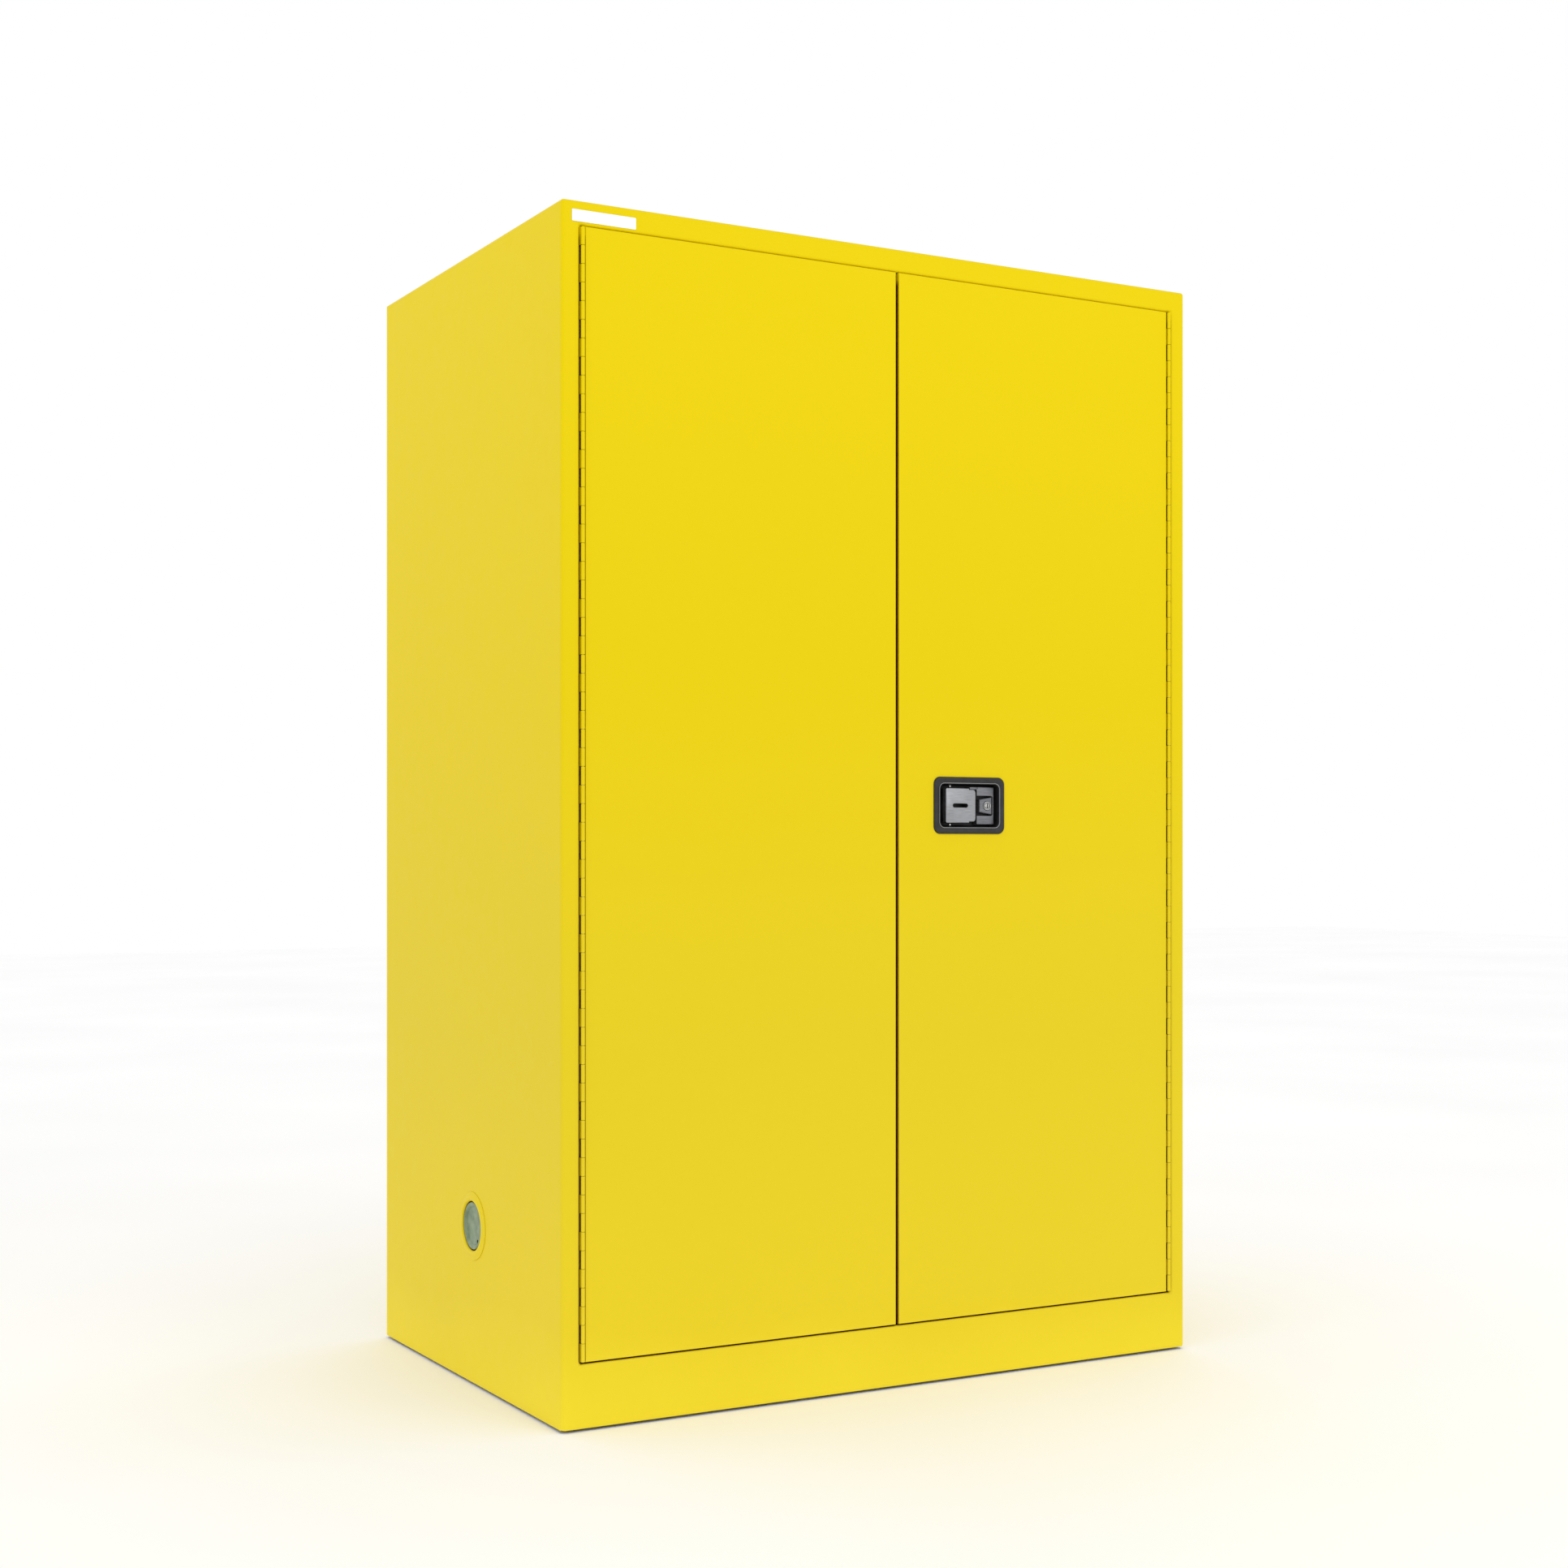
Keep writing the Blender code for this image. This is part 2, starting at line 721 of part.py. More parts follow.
def door_pan(side, name, depth, inset, facing):
    """A pan with four turned edges, open on the side away from its face."""
    near, far = SPLIT / 2 + inset, DOOR_EDGE - inset
    x0, x1 = sorted((side * near, side * far))
    z0, z1 = DOOR_BOTTOM + inset, DOOR_TOP - inset
    y0, y1 = (FRONT, FRONT + depth) if facing < 0 else (FRONT + DOOR_THICK - depth, FRONT + DOOR_THICK)
    bm = bmesh.new()
    add_box(bm, (x0, y0, z0), (x1, y1, z1))
    face = (max if facing < 0 else min)(bm.faces, key=lambda f: f.calc_center_median().y)
    bmesh.ops.inset_individual(bm, faces=[face], thickness=SHEET)
    swept = bmesh.ops.extrude_face_region(bm, geom=[face])
    moved = [item for item in swept["geom"] if isinstance(item, bmesh.types.BMVert)]
    bmesh.ops.translate(bm, vec=(0, facing * (depth - SHEET), 0), verts=moved)
    bmesh.ops.delete(bm, geom=[face], context="FACES")
    bm.normal_update()
    front = [
        edge
        for edge in bm.edges
        if all(abs(v.co.y - (y0 if facing < 0 else y1)) < 1e-6 for v in edge.verts)
    ]
    bmesh.ops.bevel(bm, geom=front, offset=SHEET, segments=2, profile=0.5, affect="EDGES")
    origin = (side * PIN_X, PIN_Y, 0)
    return from_bmesh(name, bm, yellow_paint(), origin)


def doors():
    """Outer and inner pans of both doors, and what is cut in them."""
    for side, word in ((-1, "left"), (1, "right")):
        door_pan(side, f"door_{word}_skin", DOOR_THICK - SHEET - FIT, 0.0, -1)
        door_pan(side, f"door_{word}_liner", DOOR_LIP, SHEET + FIT, 1)
    bolt_hole("door_left_skin", -1)
    bolt_hole("door_right_skin", 1)
    rod_holes()
    latch_hole()


def bolt_hole(name, side):
    """The centre bolt crosses the meeting edge of each door."""
    bm = bmesh.new()
    x = side * SPLIT / 2
    half = ROD_R + HOLE_CLEAR
    z = LATCH_Z - bolt_arm_z()
    add_box(bm, (x - 0.012, FRONT + ROD_Y - half, z - half), (x + 0.012, FRONT + ROD_Y + half, z + half))
    cut(bpy.data.objects[name], cutter(name + "_bolt_hole", bm))
    liner = name.replace("skin", "liner")
    bm = bmesh.new()
    add_box(bm, (x - 0.02, FRONT + ROD_Y - half, z - half), (x + 0.02, FRONT + ROD_Y + half, z + half))
    cut(bpy.data.objects[liner], cutter(liner + "_bolt_hole", bm))


def rod_holes():
    """The rods leave the right door through its top and bottom edges."""
    for name in ("door_right_skin", "door_right_liner"):
        bm = bmesh.new()
        for x, z in ((top_rod_x(), DOOR_TOP), (bottom_rod_x(), DOOR_BOTTOM)):
            add_cylinder(bm, (x, FRONT + ROD_Y, z - 0.018), (0, 0, 1), ROD_R + HOLE_CLEAR, 0.036)
        cut(bpy.data.objects[name], cutter(name + "_rod_holes", bm))


def latch_hole():
    """The opening that the latch dish drops into."""
    bm = bmesh.new()
    wide = BEZEL_W - 2 * BEZEL_RIM + 2 * (DISH_SHEET + HOLE_CLEAR)
    tall = BEZEL_H - 2 * BEZEL_RIM + 2 * (DISH_SHEET + HOLE_CLEAR)
    outline = [
        (LATCH_X + p.x, FRONT - 0.01, LATCH_Z + p.y) for p in rounded_rectangle(wide, tall, DISH_R)
    ]
    extrude_outline(bm, outline, (0, 0.02, 0))
    cut(bpy.data.objects["door_right_skin"], cutter("latch_opening", bm))


def astragal():
    """Strip on the left door that covers the gap between the doors from behind."""
    y = FRONT + DOOR_THICK + FIT
    box(
        "astragal",
        (-0.030, y, DOOR_BOTTOM + ASTRAGAL_END),
        (SPLIT / 2 + ASTRAGAL_REACH, y + SHEET, DOOR_TOP - ASTRAGAL_END),
        yellow_paint(),
        (-PIN_X, PIN_Y, 0),
    )


# ---- Hinges -----------------------------------------------------------------------------------


def knuckle_spans(parity):
    """Heights of every second knuckle."""
    low, high = HINGE_LOW, HINGE_HIGH
    step = (high - low) / KNUCKLES
    for index in range(parity, KNUCKLES, 2):
        yield low + index * step + KNUCKLE_GAP / 2, low + (index + 1) * step - KNUCKLE_GAP / 2


def hinge_leaf(side, name, parity, near, material):
    """A strip with its knuckles; near is its outer face, measured from the pin."""
    low, high = HINGE_LOW, HINGE_HIGH
    x0, x1 = sorted((side * (PIN_X + near), side * (PIN_X + near - math.copysign(SHEET, near))))
    bm = bmesh.new()
    start = FRONT + BARREL_R
    add_box(bm, (x0, start, low), (x1, start + LEAF_DEPTH, high))
    origin = (side * PIN_X, PIN_Y, 0)
    leaf = from_bmesh(name, bm, material, origin)
    bm = bmesh.new()
    for z0, z1 in knuckle_spans(parity):
        add_cylinder(bm, (side * PIN_X, PIN_Y, z0), (0, 0, 1), BARREL_R, z1 - z0)
        web0, web1 = sorted((side * PIN_X, side * (PIN_X + near)))
        web1, web0 = (x1, web0) if side * near > 0 else (web1, x0)
        add_box(bm, (min(web0, x0), PIN_Y + 0.0016, z0), (max(web1, x1), start + 0.002, z1))
    join(leaf, cutter(name + "_knuckles", bm))
    bm = bmesh.new()
    add_cylinder(bm, (side * PIN_X, PIN_Y, low - 0.01), (0, 0, 1), PIN_R + PIN_CLEAR, high - low + 0.02)
    cut(leaf, cutter(name + "_bore", bm))
    return leaf


def hinges():
    """A continuous hinge for each door: two leaves and a pin."""
    half = DOOR_SIDE_GAP / 2 - FIT
    for side, word in ((-1, "left"), (1, "right")):
        hinge_leaf(side, f"hinge_frame_leaf_{word}", 0, half, yellow_paint())
        hinge_leaf(side, f"hinge_door_leaf_{word}", 1, -half, yellow_paint())
        bm = bmesh.new()
        low, high = HINGE_LOW, HINGE_HIGH
        add_cylinder(bm, (side * PIN_X, PIN_Y, low), (0, 0, 1), PIN_R, high - low, 8)
        from_bmesh(f"hinge_pin_{word}", bm, plated_steel(), smooth=True)


# ---- Three-point latch ------------------------------------------------------------------------


def top_rod_x():
    return LATCH_X - CAM_R * math.cos(CAM_START)


def bottom_rod_x():
    return LATCH_X + CAM_R * math.cos(CAM_START)


def bolt_arm_z():
    return CAM_R * math.cos(CAM_START)


def latch_point(x, y, z):
    """A point given from the middle of the latch, on the door's front face."""
    return (LATCH_X + x, FRONT + y, LATCH_Z + z)


def latch_bezel():
    """Dished bezel: a flat rim in front of the door and a pocket behind it."""
    outer = rounded_rectangle(BEZEL_W, BEZEL_H, BEZEL_R)
    mouth_w, mouth_h = BEZEL_W - 2 * BEZEL_RIM, BEZEL_H - 2 * BEZEL_RIM
    pocket = rounded_rectangle(mouth_w, mouth_h, DISH_R)
    wall = rounded_rectangle(
        mouth_w + 2 * DISH_SHEET, mouth_h + 2 * DISH_SHEET, DISH_R + DISH_SHEET
    )
    slim = rounded_rectangle(BEZEL_W - 0.004, BEZEL_H - 0.004, BEZEL_R - 0.002)
    rings = [
        (pocket, DISH_DEPTH - DISH_SHEET),
        (pocket, 0.0),
        (rounded_rectangle(mouth_w + 0.003, mouth_h + 0.003, DISH_R + 0.0015), -BEZEL_PROUD + 0.0006),
        (slim, -BEZEL_PROUD),
        (outer, -0.0012),
        (outer, -FIT),
        (wall, -FIT),
        (wall, DISH_DEPTH),
    ]
    bm = bmesh.new()
    loops = [[bm.verts.new(latch_point(p.x, y, p.y)) for p in points] for points, y in rings]
    for first, second in zip(loops, loops[1:]):
        count = len(first)
        for i in range(count):
            j = (i + 1) % count
            bm.faces.new((first[i], first[j], second[j], second[i]))
    bm.faces.new(loops[0][::-1])
    bm.faces.new(loops[-1])
    bezel = from_bmesh("latch_bezel", bm, black_coat(), (PIN_X, PIN_Y, 0), smooth=True)
    bm = bmesh.new()
    left, right, tall = FINGER_OPENING
    add_box(bm, latch_point(left, FAR_CUT, -tall / 2), latch_point(right, DISH_DEPTH + FAR_CUT, tall / 2))
    add_cylinder(bm, latch_point(LOCK_X, 0.010, 0), (0, 1, 0), PLUG_R + 0.0025, 0.02, ROUND)
    cut(bezel, cutter("bezel_openings", bm))
    bm = bmesh.new()
    height = mouth_h + 2 * DISH_SHEET + 0.004
    add_cylinder(
        bm, latch_point(PIVOT_X, pivot_y(), -height / 2), (0, 0, 1), PIVOT_R + PIN_CLEAR, height
    )
    cut(bezel, cutter("bezel_pivot_bore", bm))


def pivot_y():
    return PADDLE_FACE + DISH_SHEET + SPRING_R + SPRING_WIRE + FIT


def latch_inside():
    """Silver back plate with its finger recess, and the lock housing standing in it."""
    height = PLATE_H
    face = PLATE_FACE
    floor = DISH_DEPTH - DISH_SHEET - FIT
    bm = bmesh.new()
    add_box(bm, latch_point(PLATE_LEFT, face, -height / 2), latch_point(PLATE_RIGHT, floor, height / 2))
    plate = from_bmesh("latch_back_plate", bm, satin_steel(), (PIN_X, PIN_Y, 0))
    bm = bmesh.new()
    low = latch_point(PLATE_LEFT - FAR_CUT, face - FAR_CUT, -RECESS_H / 2)
    add_box(bm, low, latch_point(RECESS_RIGHT, floor + FAR_CUT, RECESS_H / 2))
    cut(plate, cutter("finger_recess", bm))
    right = RECESS_RIGHT - FIT
    left = right - HOUSING_W
    short, tall = HOUSING_ENDS[0] / 2, HOUSING_ENDS[1] / 2
    block = [(left, -short), (right, -tall), (right, tall), (left, short)]
    start = face + HOUSING_SET_BACK
    bm = bmesh.new()
    extrude_outline(bm, [latch_point(x, start, z) for x, z in block], (0, floor - start, 0))
    housing = from_bmesh("lock_housing", bm, satin_steel(), (PIN_X, PIN_Y, 0))
    bm = bmesh.new()
    add_cylinder(bm, latch_point(LOCK_X, 0, 0), (0, 1, 0), PLUG_R + FIT, 0.03, ROUND)
    cut(housing, cutter("plug_bore", bm))


def key_plug():
    """Lock cylinder with its keyway and the tail that blocks the cam."""
    origin = latch_point(LOCK_X, 0, 0)
    bm = bmesh.new()
    start = PLATE_FACE + 0.0005
    add_cylinder(bm, latch_point(LOCK_X, start, 0), (0, 1, 0), PLUG_R, CAM_Y - 0.001 - start, ROUND)
    plug = from_bmesh("key_plug", bm, plated_steel(), origin, smooth=True)
    bm = bmesh.new()
    half_w, half_h = KEYWAY[0] / 2, KEYWAY[1] / 2
    add_box(
        bm, latch_point(LOCK_X - half_w, start - 0.01, -half_h), latch_point(LOCK_X + half_w, start + 0.006, half_h)
    )
    cut(plug, cutter("keyway", bm))
    bm = bmesh.new()
    tail = CAM_Y - 0.0025
    add_box(bm, latch_point(LOCK_X - 0.004, tail, -0.020), latch_point(LOCK_X + 0.004, tail + 0.0015, 0.004))
    join(plug, cutter("plug_tail", bm))


def paddle():
    """Pull plate with turned edges, a slot and two lugs, hung on its pin."""
    origin = latch_point(PIVOT_X, pivot_y(), 0)
    left, right = PADDLE_LEFT, PADDLE_LEFT + PADDLE_W
    half = PADDLE_H / 2
    bm = bmesh.new()
    add_box(bm, latch_point(left, PADDLE_FACE, -half), latch_point(right, PADDLE_FACE + PADDLE_SKIRT, half))
    rear = max(bm.faces, key=lambda face: face.calc_center_median().y)
    bmesh.ops.inset_individual(bm, faces=[rear], thickness=DISH_SHEET)
    swept = bmesh.ops.extrude_face_region(bm, geom=[rear])
    moved = [item for item in swept["geom"] if isinstance(item, bmesh.types.BMVert)]
    bmesh.ops.translate(bm, vec=(0, -(PADDLE_SKIRT - DISH_SHEET), 0), verts=moved)
    bmesh.ops.delete(bm, geom=[rear], context="FACES")
    upright = [
        e
        for e in bm.edges
        if all(abs(v.co.y - FRONT - PADDLE_FACE) < 1e-6 for v in e.verts)
    ]
    bmesh.ops.bevel(bm, geom=upright, offset=0.001, segments=2, profile=0.5, affect="EDGES")
    plate = from_bmesh("paddle", bm, satin_steel(), origin)
    bm = bmesh.new()
    add_cylinder(bm, latch_point(PIVOT_X, pivot_y(), -half - 0.01), (0, 0, 1), PIVOT_R + FIT, 2 * half + 0.02)
    middle = (left + right) / 2 - 0.001
    wide, tall = PADDLE_SLOT
    slot = rounded_rectangle(wide, tall, tall / 2 - 0.0001)
    extrude_outline(bm, [latch_point(middle + p.x, PADDLE_FACE - 0.01, p.y) for p in slot], (0, 0.013, 0))
    cut(plate, cutter("paddle_openings", bm))
    bm = bmesh.new()
    add_box(bm, latch_point(left + 0.0002, PADDLE_FACE + 0.001, -0.005), latch_point(left + 0.0022, CAM_Y - 0.0012, 0.005))
    join(plate, cutter("paddle_finger", bm))


def paddle_fittings():
    """The paddle's pin and the return spring coiled round it."""
    tall = BEZEL_H - 2 * BEZEL_RIM + 2 * DISH_SHEET - 0.001
    bm = bmesh.new()
    add_cylinder(bm, latch_point(PIVOT_X, pivot_y(), -tall / 2), (0, 0, 1), PIVOT_R, tall, 16)
    from_bmesh("paddle_pin", bm, plated_steel(), (PIN_X, PIN_Y, 0), smooth=True)
    curve = bpy.data.curves.new("paddle_spring", "CURVE")
    curve.dimensions = "3D"
    curve.bevel_depth = SPRING_WIRE
    curve.bevel_resolution = 1
    curve.use_fill_caps = True
    spline = curve.splines.new("POLY")
    count = SPRING_TURNS * SMALL_ROUND + 1
    spline.points.add(count - 1)
    pitch = 2 * SPRING_WIRE + FIT
    for index, point in enumerate(spline.points):
        turn = math.tau * index / SMALL_ROUND
        x, y = SPRING_R * math.cos(turn), SPRING_R * math.sin(turn)
        z = SPRING_START + pitch * index / SMALL_ROUND
        point.co = (*latch_point(PIVOT_X + x, pivot_y() + y, z), 1.0)
    curve.materials.append(plated_steel())
    spring = bpy.data.objects.new("paddle_spring", curve)
    bpy.context.scene.collection.objects.link(spring)


def latch_cam():
    """Plate that turns behind the dish and draws the two rods and the bolt."""
    origin = latch_point(0, CAM_Y, 0)
    bm = bmesh.new()
    add_cylinder(bm, latch_point(0, CAM_Y, 0), (0, 1, 0), 0.010, CAM_SHEET, 16)
    cam = from_bmesh("latch_cam", bm, plated_steel(), origin, smooth=True)
    bm = bmesh.new()
    arms = (math.pi - CAM_START, -CAM_START, -math.pi / 2 - CAM_START)
    for angle in arms:
        turn = Matrix.Translation(latch_point(0, CAM_Y, 0)) @ Matrix.Rotation(-angle, 4, "Y")
        shape = Matrix.Translation(((CAM_R + ARM_END) / 2, CAM_SHEET / 2, 0))
        size = Matrix.Diagonal((CAM_R + ARM_END, CAM_SHEET - 2 * FIT, 2 * ARM_END, 1.0))
        bmesh.ops.create_cube(bm, size=1.0, matrix=turn @ shape @ size)
    join(cam, cutter("cam_arms", bm))
    bm = bmesh.new()
    for angle in arms:
        x, z = CAM_R * math.cos(angle), CAM_R * math.sin(angle)
        reach = ROD_Y + 0.001 - CAM_Y
        add_cylinder(bm, latch_point(x, CAM_Y + 0.001, z), (0, 1, 0), STUD, reach, 8)
    join(cam, cutter("cam_studs", bm))
    bm = bmesh.new()
    add_cylinder(bm, latch_point(0, CAM_Y - 0.01, 0), (0, 1, 0), CAM_PIVOT_R + FIT, 0.02, 16)
    cut(cam, cutter("cam_bore", bm))
    bm = bmesh.new()
    start = DISH_DEPTH + FIT
    add_cylinder(bm, latch_point(0, start, 0), (0, 1, 0), CAM_PIVOT_R, CAM_Y + CAM_SHEET + 0.001 - start, 16)
    from_bmesh("cam_pivot", bm, plated_steel(), (PIN_X, PIN_Y, 0), smooth=True)


def add_tab(rod, centre, plate, slot):
    """A flat tab on a rod's end, with a slot that clears its cam stud."""
    x, z = centre
    for name, size, depth, use in (("tab", plate, ROD_TAB, join), ("slot", slot, 2 * ROD_R, cut)):
        bm = bmesh.new()
        low = latch_point(x - size[0] / 2, ROD_Y - depth / 2, z - size[1] / 2)
        high = latch_point(x + size[0] / 2, ROD_Y + depth / 2, z + size[1] / 2)
        add_box(bm, low, high)
        use(rod, cutter(f"{rod.name}_{name}", bm))


def rods():
    """Top rod, bottom rod and centre bolt, each with a slotted tab over its cam stud."""
    rise = CAM_R * math.sin(CAM_START)
    side = CAM_R * math.cos(CAM_START)
    run = CAM_R * (1 - math.cos(CAM_START))
    short = 2 * (STUD + STUD_PLAY)
    long = short + 2 * run
    for name, x, z, up in (("top_rod", -side, rise, 1), ("bottom_rod", side, -rise, -1)):
        end = HEIGHT - HEADER + ROD_ENGAGE if up > 0 else KICK - ROD_ENGAGE
        start = LATCH_Z + z + up * (short / 2 + TAB_BAR / 2)
        bm = bmesh.new()
        add_cylinder(bm, (LATCH_X + x, FRONT + ROD_Y, start), (0, 0, up), ROD_R, abs(end - start), 8)
        rod = from_bmesh(name, bm, plated_steel(), (LATCH_X + x, FRONT + ROD_Y, LATCH_Z), smooth=True)
        add_tab(rod, (x, z), (long + 2 * TAB_BAR, short + 2 * TAB_BAR), (long, short))
    x, z = -rise, -side
    start = LATCH_X + x - short / 2 - TAB_BAR / 2
    length = start - SPLIT / 2 + BOLT_REACH
    bm = bmesh.new()
    add_cylinder(bm, (start, FRONT + ROD_Y, LATCH_Z + z), (-1, 0, 0), ROD_R, length, 8)
    bolt = from_bmesh("centre_bolt", bm, plated_steel(), latch_point(0, ROD_Y, z), smooth=True)
    add_tab(bolt, (x, z), (short + 2 * TAB_BAR, long + 2 * TAB_BAR), (short, long))


def main():
    clear_scene()
    for side in (-1, 1):
        outer_side(side)
    front_rails()
    outer_panels()
    liners()
    levelling_feet()
    ground_point()
    label()
    for side in (-1, 1):
        vent(side)
    shelf_standards()
    shelf_hangers()
    shelves()
    doors()
    astragal()
    hinges()
    latch_bezel()
    latch_inside()
    key_plug()
    paddle()
    paddle_fittings()
    latch_cam()
    rods()


main()
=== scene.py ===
"""Looks of the flammable storage cabinet: shells, hinges, latch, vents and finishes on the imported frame."""
import json
import math

import bmesh
import bpy
from mathutils import Matrix, Vector


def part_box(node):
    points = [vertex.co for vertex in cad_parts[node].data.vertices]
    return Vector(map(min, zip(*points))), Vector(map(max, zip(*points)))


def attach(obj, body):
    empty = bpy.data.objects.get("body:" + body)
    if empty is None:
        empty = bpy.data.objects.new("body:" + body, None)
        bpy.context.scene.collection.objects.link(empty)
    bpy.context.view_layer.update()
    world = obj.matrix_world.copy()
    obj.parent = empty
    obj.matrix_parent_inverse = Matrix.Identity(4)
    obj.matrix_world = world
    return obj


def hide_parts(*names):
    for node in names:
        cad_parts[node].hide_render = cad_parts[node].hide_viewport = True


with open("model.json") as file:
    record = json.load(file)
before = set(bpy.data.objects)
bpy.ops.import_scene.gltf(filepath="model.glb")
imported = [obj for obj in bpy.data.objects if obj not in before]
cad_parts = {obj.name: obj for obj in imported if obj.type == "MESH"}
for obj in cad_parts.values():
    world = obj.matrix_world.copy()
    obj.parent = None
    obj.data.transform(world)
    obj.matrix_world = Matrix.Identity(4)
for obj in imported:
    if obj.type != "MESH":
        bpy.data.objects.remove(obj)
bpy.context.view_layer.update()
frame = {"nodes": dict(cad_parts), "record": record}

# Sheet and edge sizes, metres
SHEET = 0.0012
EDGE = 0.0045
JAMB = 0.0415
RETURN = 0.0105
REAR_FLANGE = 0.022
KNUCKLE = 0.025
KNUCKLE_GAP = 0.0004
BARREL_R = 0.0028
RIM = 0.0105
DISH_SHEET = 0.0012
CAP_RECESS = 0.0015
STRIKE_R = 0.0045
PIN_BORE = 0.0023
VENT_HOLE_R = 0.0383
VENT_PROUD = 0.0025
PLUG_GAP = 0.0016
JAMB_GAP = 0.0003
FLOOR_HALF = 14.0

# Steel in the latch pocket that is coated to match it
HIDDEN_STEEL = ("paddle_pin", "paddle_spring")

# Camera: lens in millimetres, angle round the cabinet in degrees
LENS = 52.0
TURN = 29.42
EYE_HEIGHT = 0.7827
ASIDE = 0.2964
AWAY = 3.0208
RISE = 0.0407


# ---- Mesh helpers -----------------------------------------------------------------------------


def piece(name, bm, body, material, replaced=(), smooth=35):
    """Make an object of a bmesh, ride it on a body and name what it stands for."""
    bmesh.ops.recalc_face_normals(bm, faces=bm.faces)
    mesh = bpy.data.meshes.new(name)
    bm.to_mesh(mesh)
    bm.free()
    mesh.shade_smooth()
    mesh.set_sharp_from_angle(angle=math.radians(smooth))
    mesh.materials.append(material)
    thing = bpy.data.objects.new(name, mesh)
    bpy.context.scene.collection.objects.link(thing)
    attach(thing, body)
    if replaced:
        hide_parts(*replaced)
    return thing


def weighted(thing):
    """Flat faces keep flat shading next to rounded edges."""
    modifier = thing.modifiers.new("weighted_normals", "WEIGHTED_NORMAL")
    modifier.keep_sharp = True


def rounded_rectangle(width, height, radius, steps=8):
    """Points of a rectangle with round corners, counter-clockwise."""
    points = []
    for quarter, (sx, sy) in enumerate(((1, -1), (1, 1), (-1, 1), (-1, -1))):
        centre = Vector((sx * (width / 2 - radius), sy * (height / 2 - radius)))
        for step in range(steps + 1):
            angle = math.radians(-90 + 90 * quarter + 90 * step / steps)
            points.append(centre + Vector((math.cos(angle), math.sin(angle))) * radius)
    return points


def bridge(bm, first, second):
    """Quads between two closed loops of vertices."""
    count = len(first)
    for i in range(count):
        j = (i + 1) % count
        bm.faces.new((first[i], first[j], second[j], second[i]))


def stacked(bm, rings, cap_first=True, cap_last=True):
    """Skin a stack of closed rings of points."""
    loops = [[bm.verts.new(point) for point in ring] for ring in rings]
    for first, second in zip(loops, loops[1:]):
        bridge(bm, first, second)
    if cap_first:
        bm.faces.new(loops[0][::-1])
    if cap_last:
        bm.faces.new(loops[-1])


def turned(bm, profile, centre, axis, steps=64):
    """Add a surface turned from (radius, depth) points round an axis through a centre."""
    turn = Vector((0, 0, 1)).rotation_difference(Vector(axis)).to_matrix().to_4x4()
    place = Matrix.Translation(centre) @ turn
    rings = []
    for radius, depth in profile:
        angles = [math.tau * i / steps for i in range(steps)]
        rings.append([place @ Vector((radius * math.cos(a), radius * math.sin(a), depth)) for a in angles])
    opened = profile[0] != profile[-1]
    stacked(bm, rings, cap_first=opened, cap_last=opened)


def add_box(bm, low, high, bevel=0.0, segments=3):
    """Add a box, with its edges rounded."""
    size, middle = Vector(high) - Vector(low), (Vector(high) + Vector(low)) / 2
    made = bmesh.ops.create_cube(
        bm, size=1.0, matrix=Matrix.Translation(middle) @ Matrix.Diagonal((*size, 1.0))
    )
    if bevel:
        edges = {edge for vert in made["verts"] for edge in vert.link_edges}
        bmesh.ops.bevel(
            bm, geom=list(edges), offset=bevel, segments=segments, profile=0.5, affect="EDGES"
        )


def without(thing, cutters, smooth=30):
    """Cut shapes out of a piece, keep the result as its mesh and smooth it up to an angle."""
    for cutter in cutters:
        modifier = thing.modifiers.new("cut", "BOOLEAN")
        modifier.object = cutter
        modifier.operation = "DIFFERENCE"
        modifier.solver = "EXACT"
    graph = bpy.context.evaluated_depsgraph_get()
    made = bpy.data.meshes.new_from_object(thing.evaluated_get(graph), depsgraph=graph)
    thing.modifiers.clear()
    thing.data = made
    for cutter in cutters:
        bpy.data.objects.remove(cutter, do_unlink=True)
    thing.data.shade_smooth()
    thing.data.set_sharp_from_angle(angle=math.radians(smooth))


def loose(name, bm):
    """A plain object used only to cut another."""
    bmesh.ops.recalc_face_normals(bm, faces=bm.faces)
    mesh = bpy.data.meshes.new(name)
    bm.to_mesh(mesh)
    bm.free()
    thing = bpy.data.objects.new(name, mesh)
    bpy.context.scene.collection.objects.link(thing)
    return thing


# ---- Materials --------------------------------------------------------------------------------


def colour(code):
    """Linear colour of an sRGB hex value."""
    values = []
    for start in (0, 2, 4):
        value = int(code[start : start + 2], 16) / 255
        values.append(value / 12.92 if value <= 0.04045 else ((value + 0.055) / 1.055) ** 2.4)
    return (*values, 1.0)


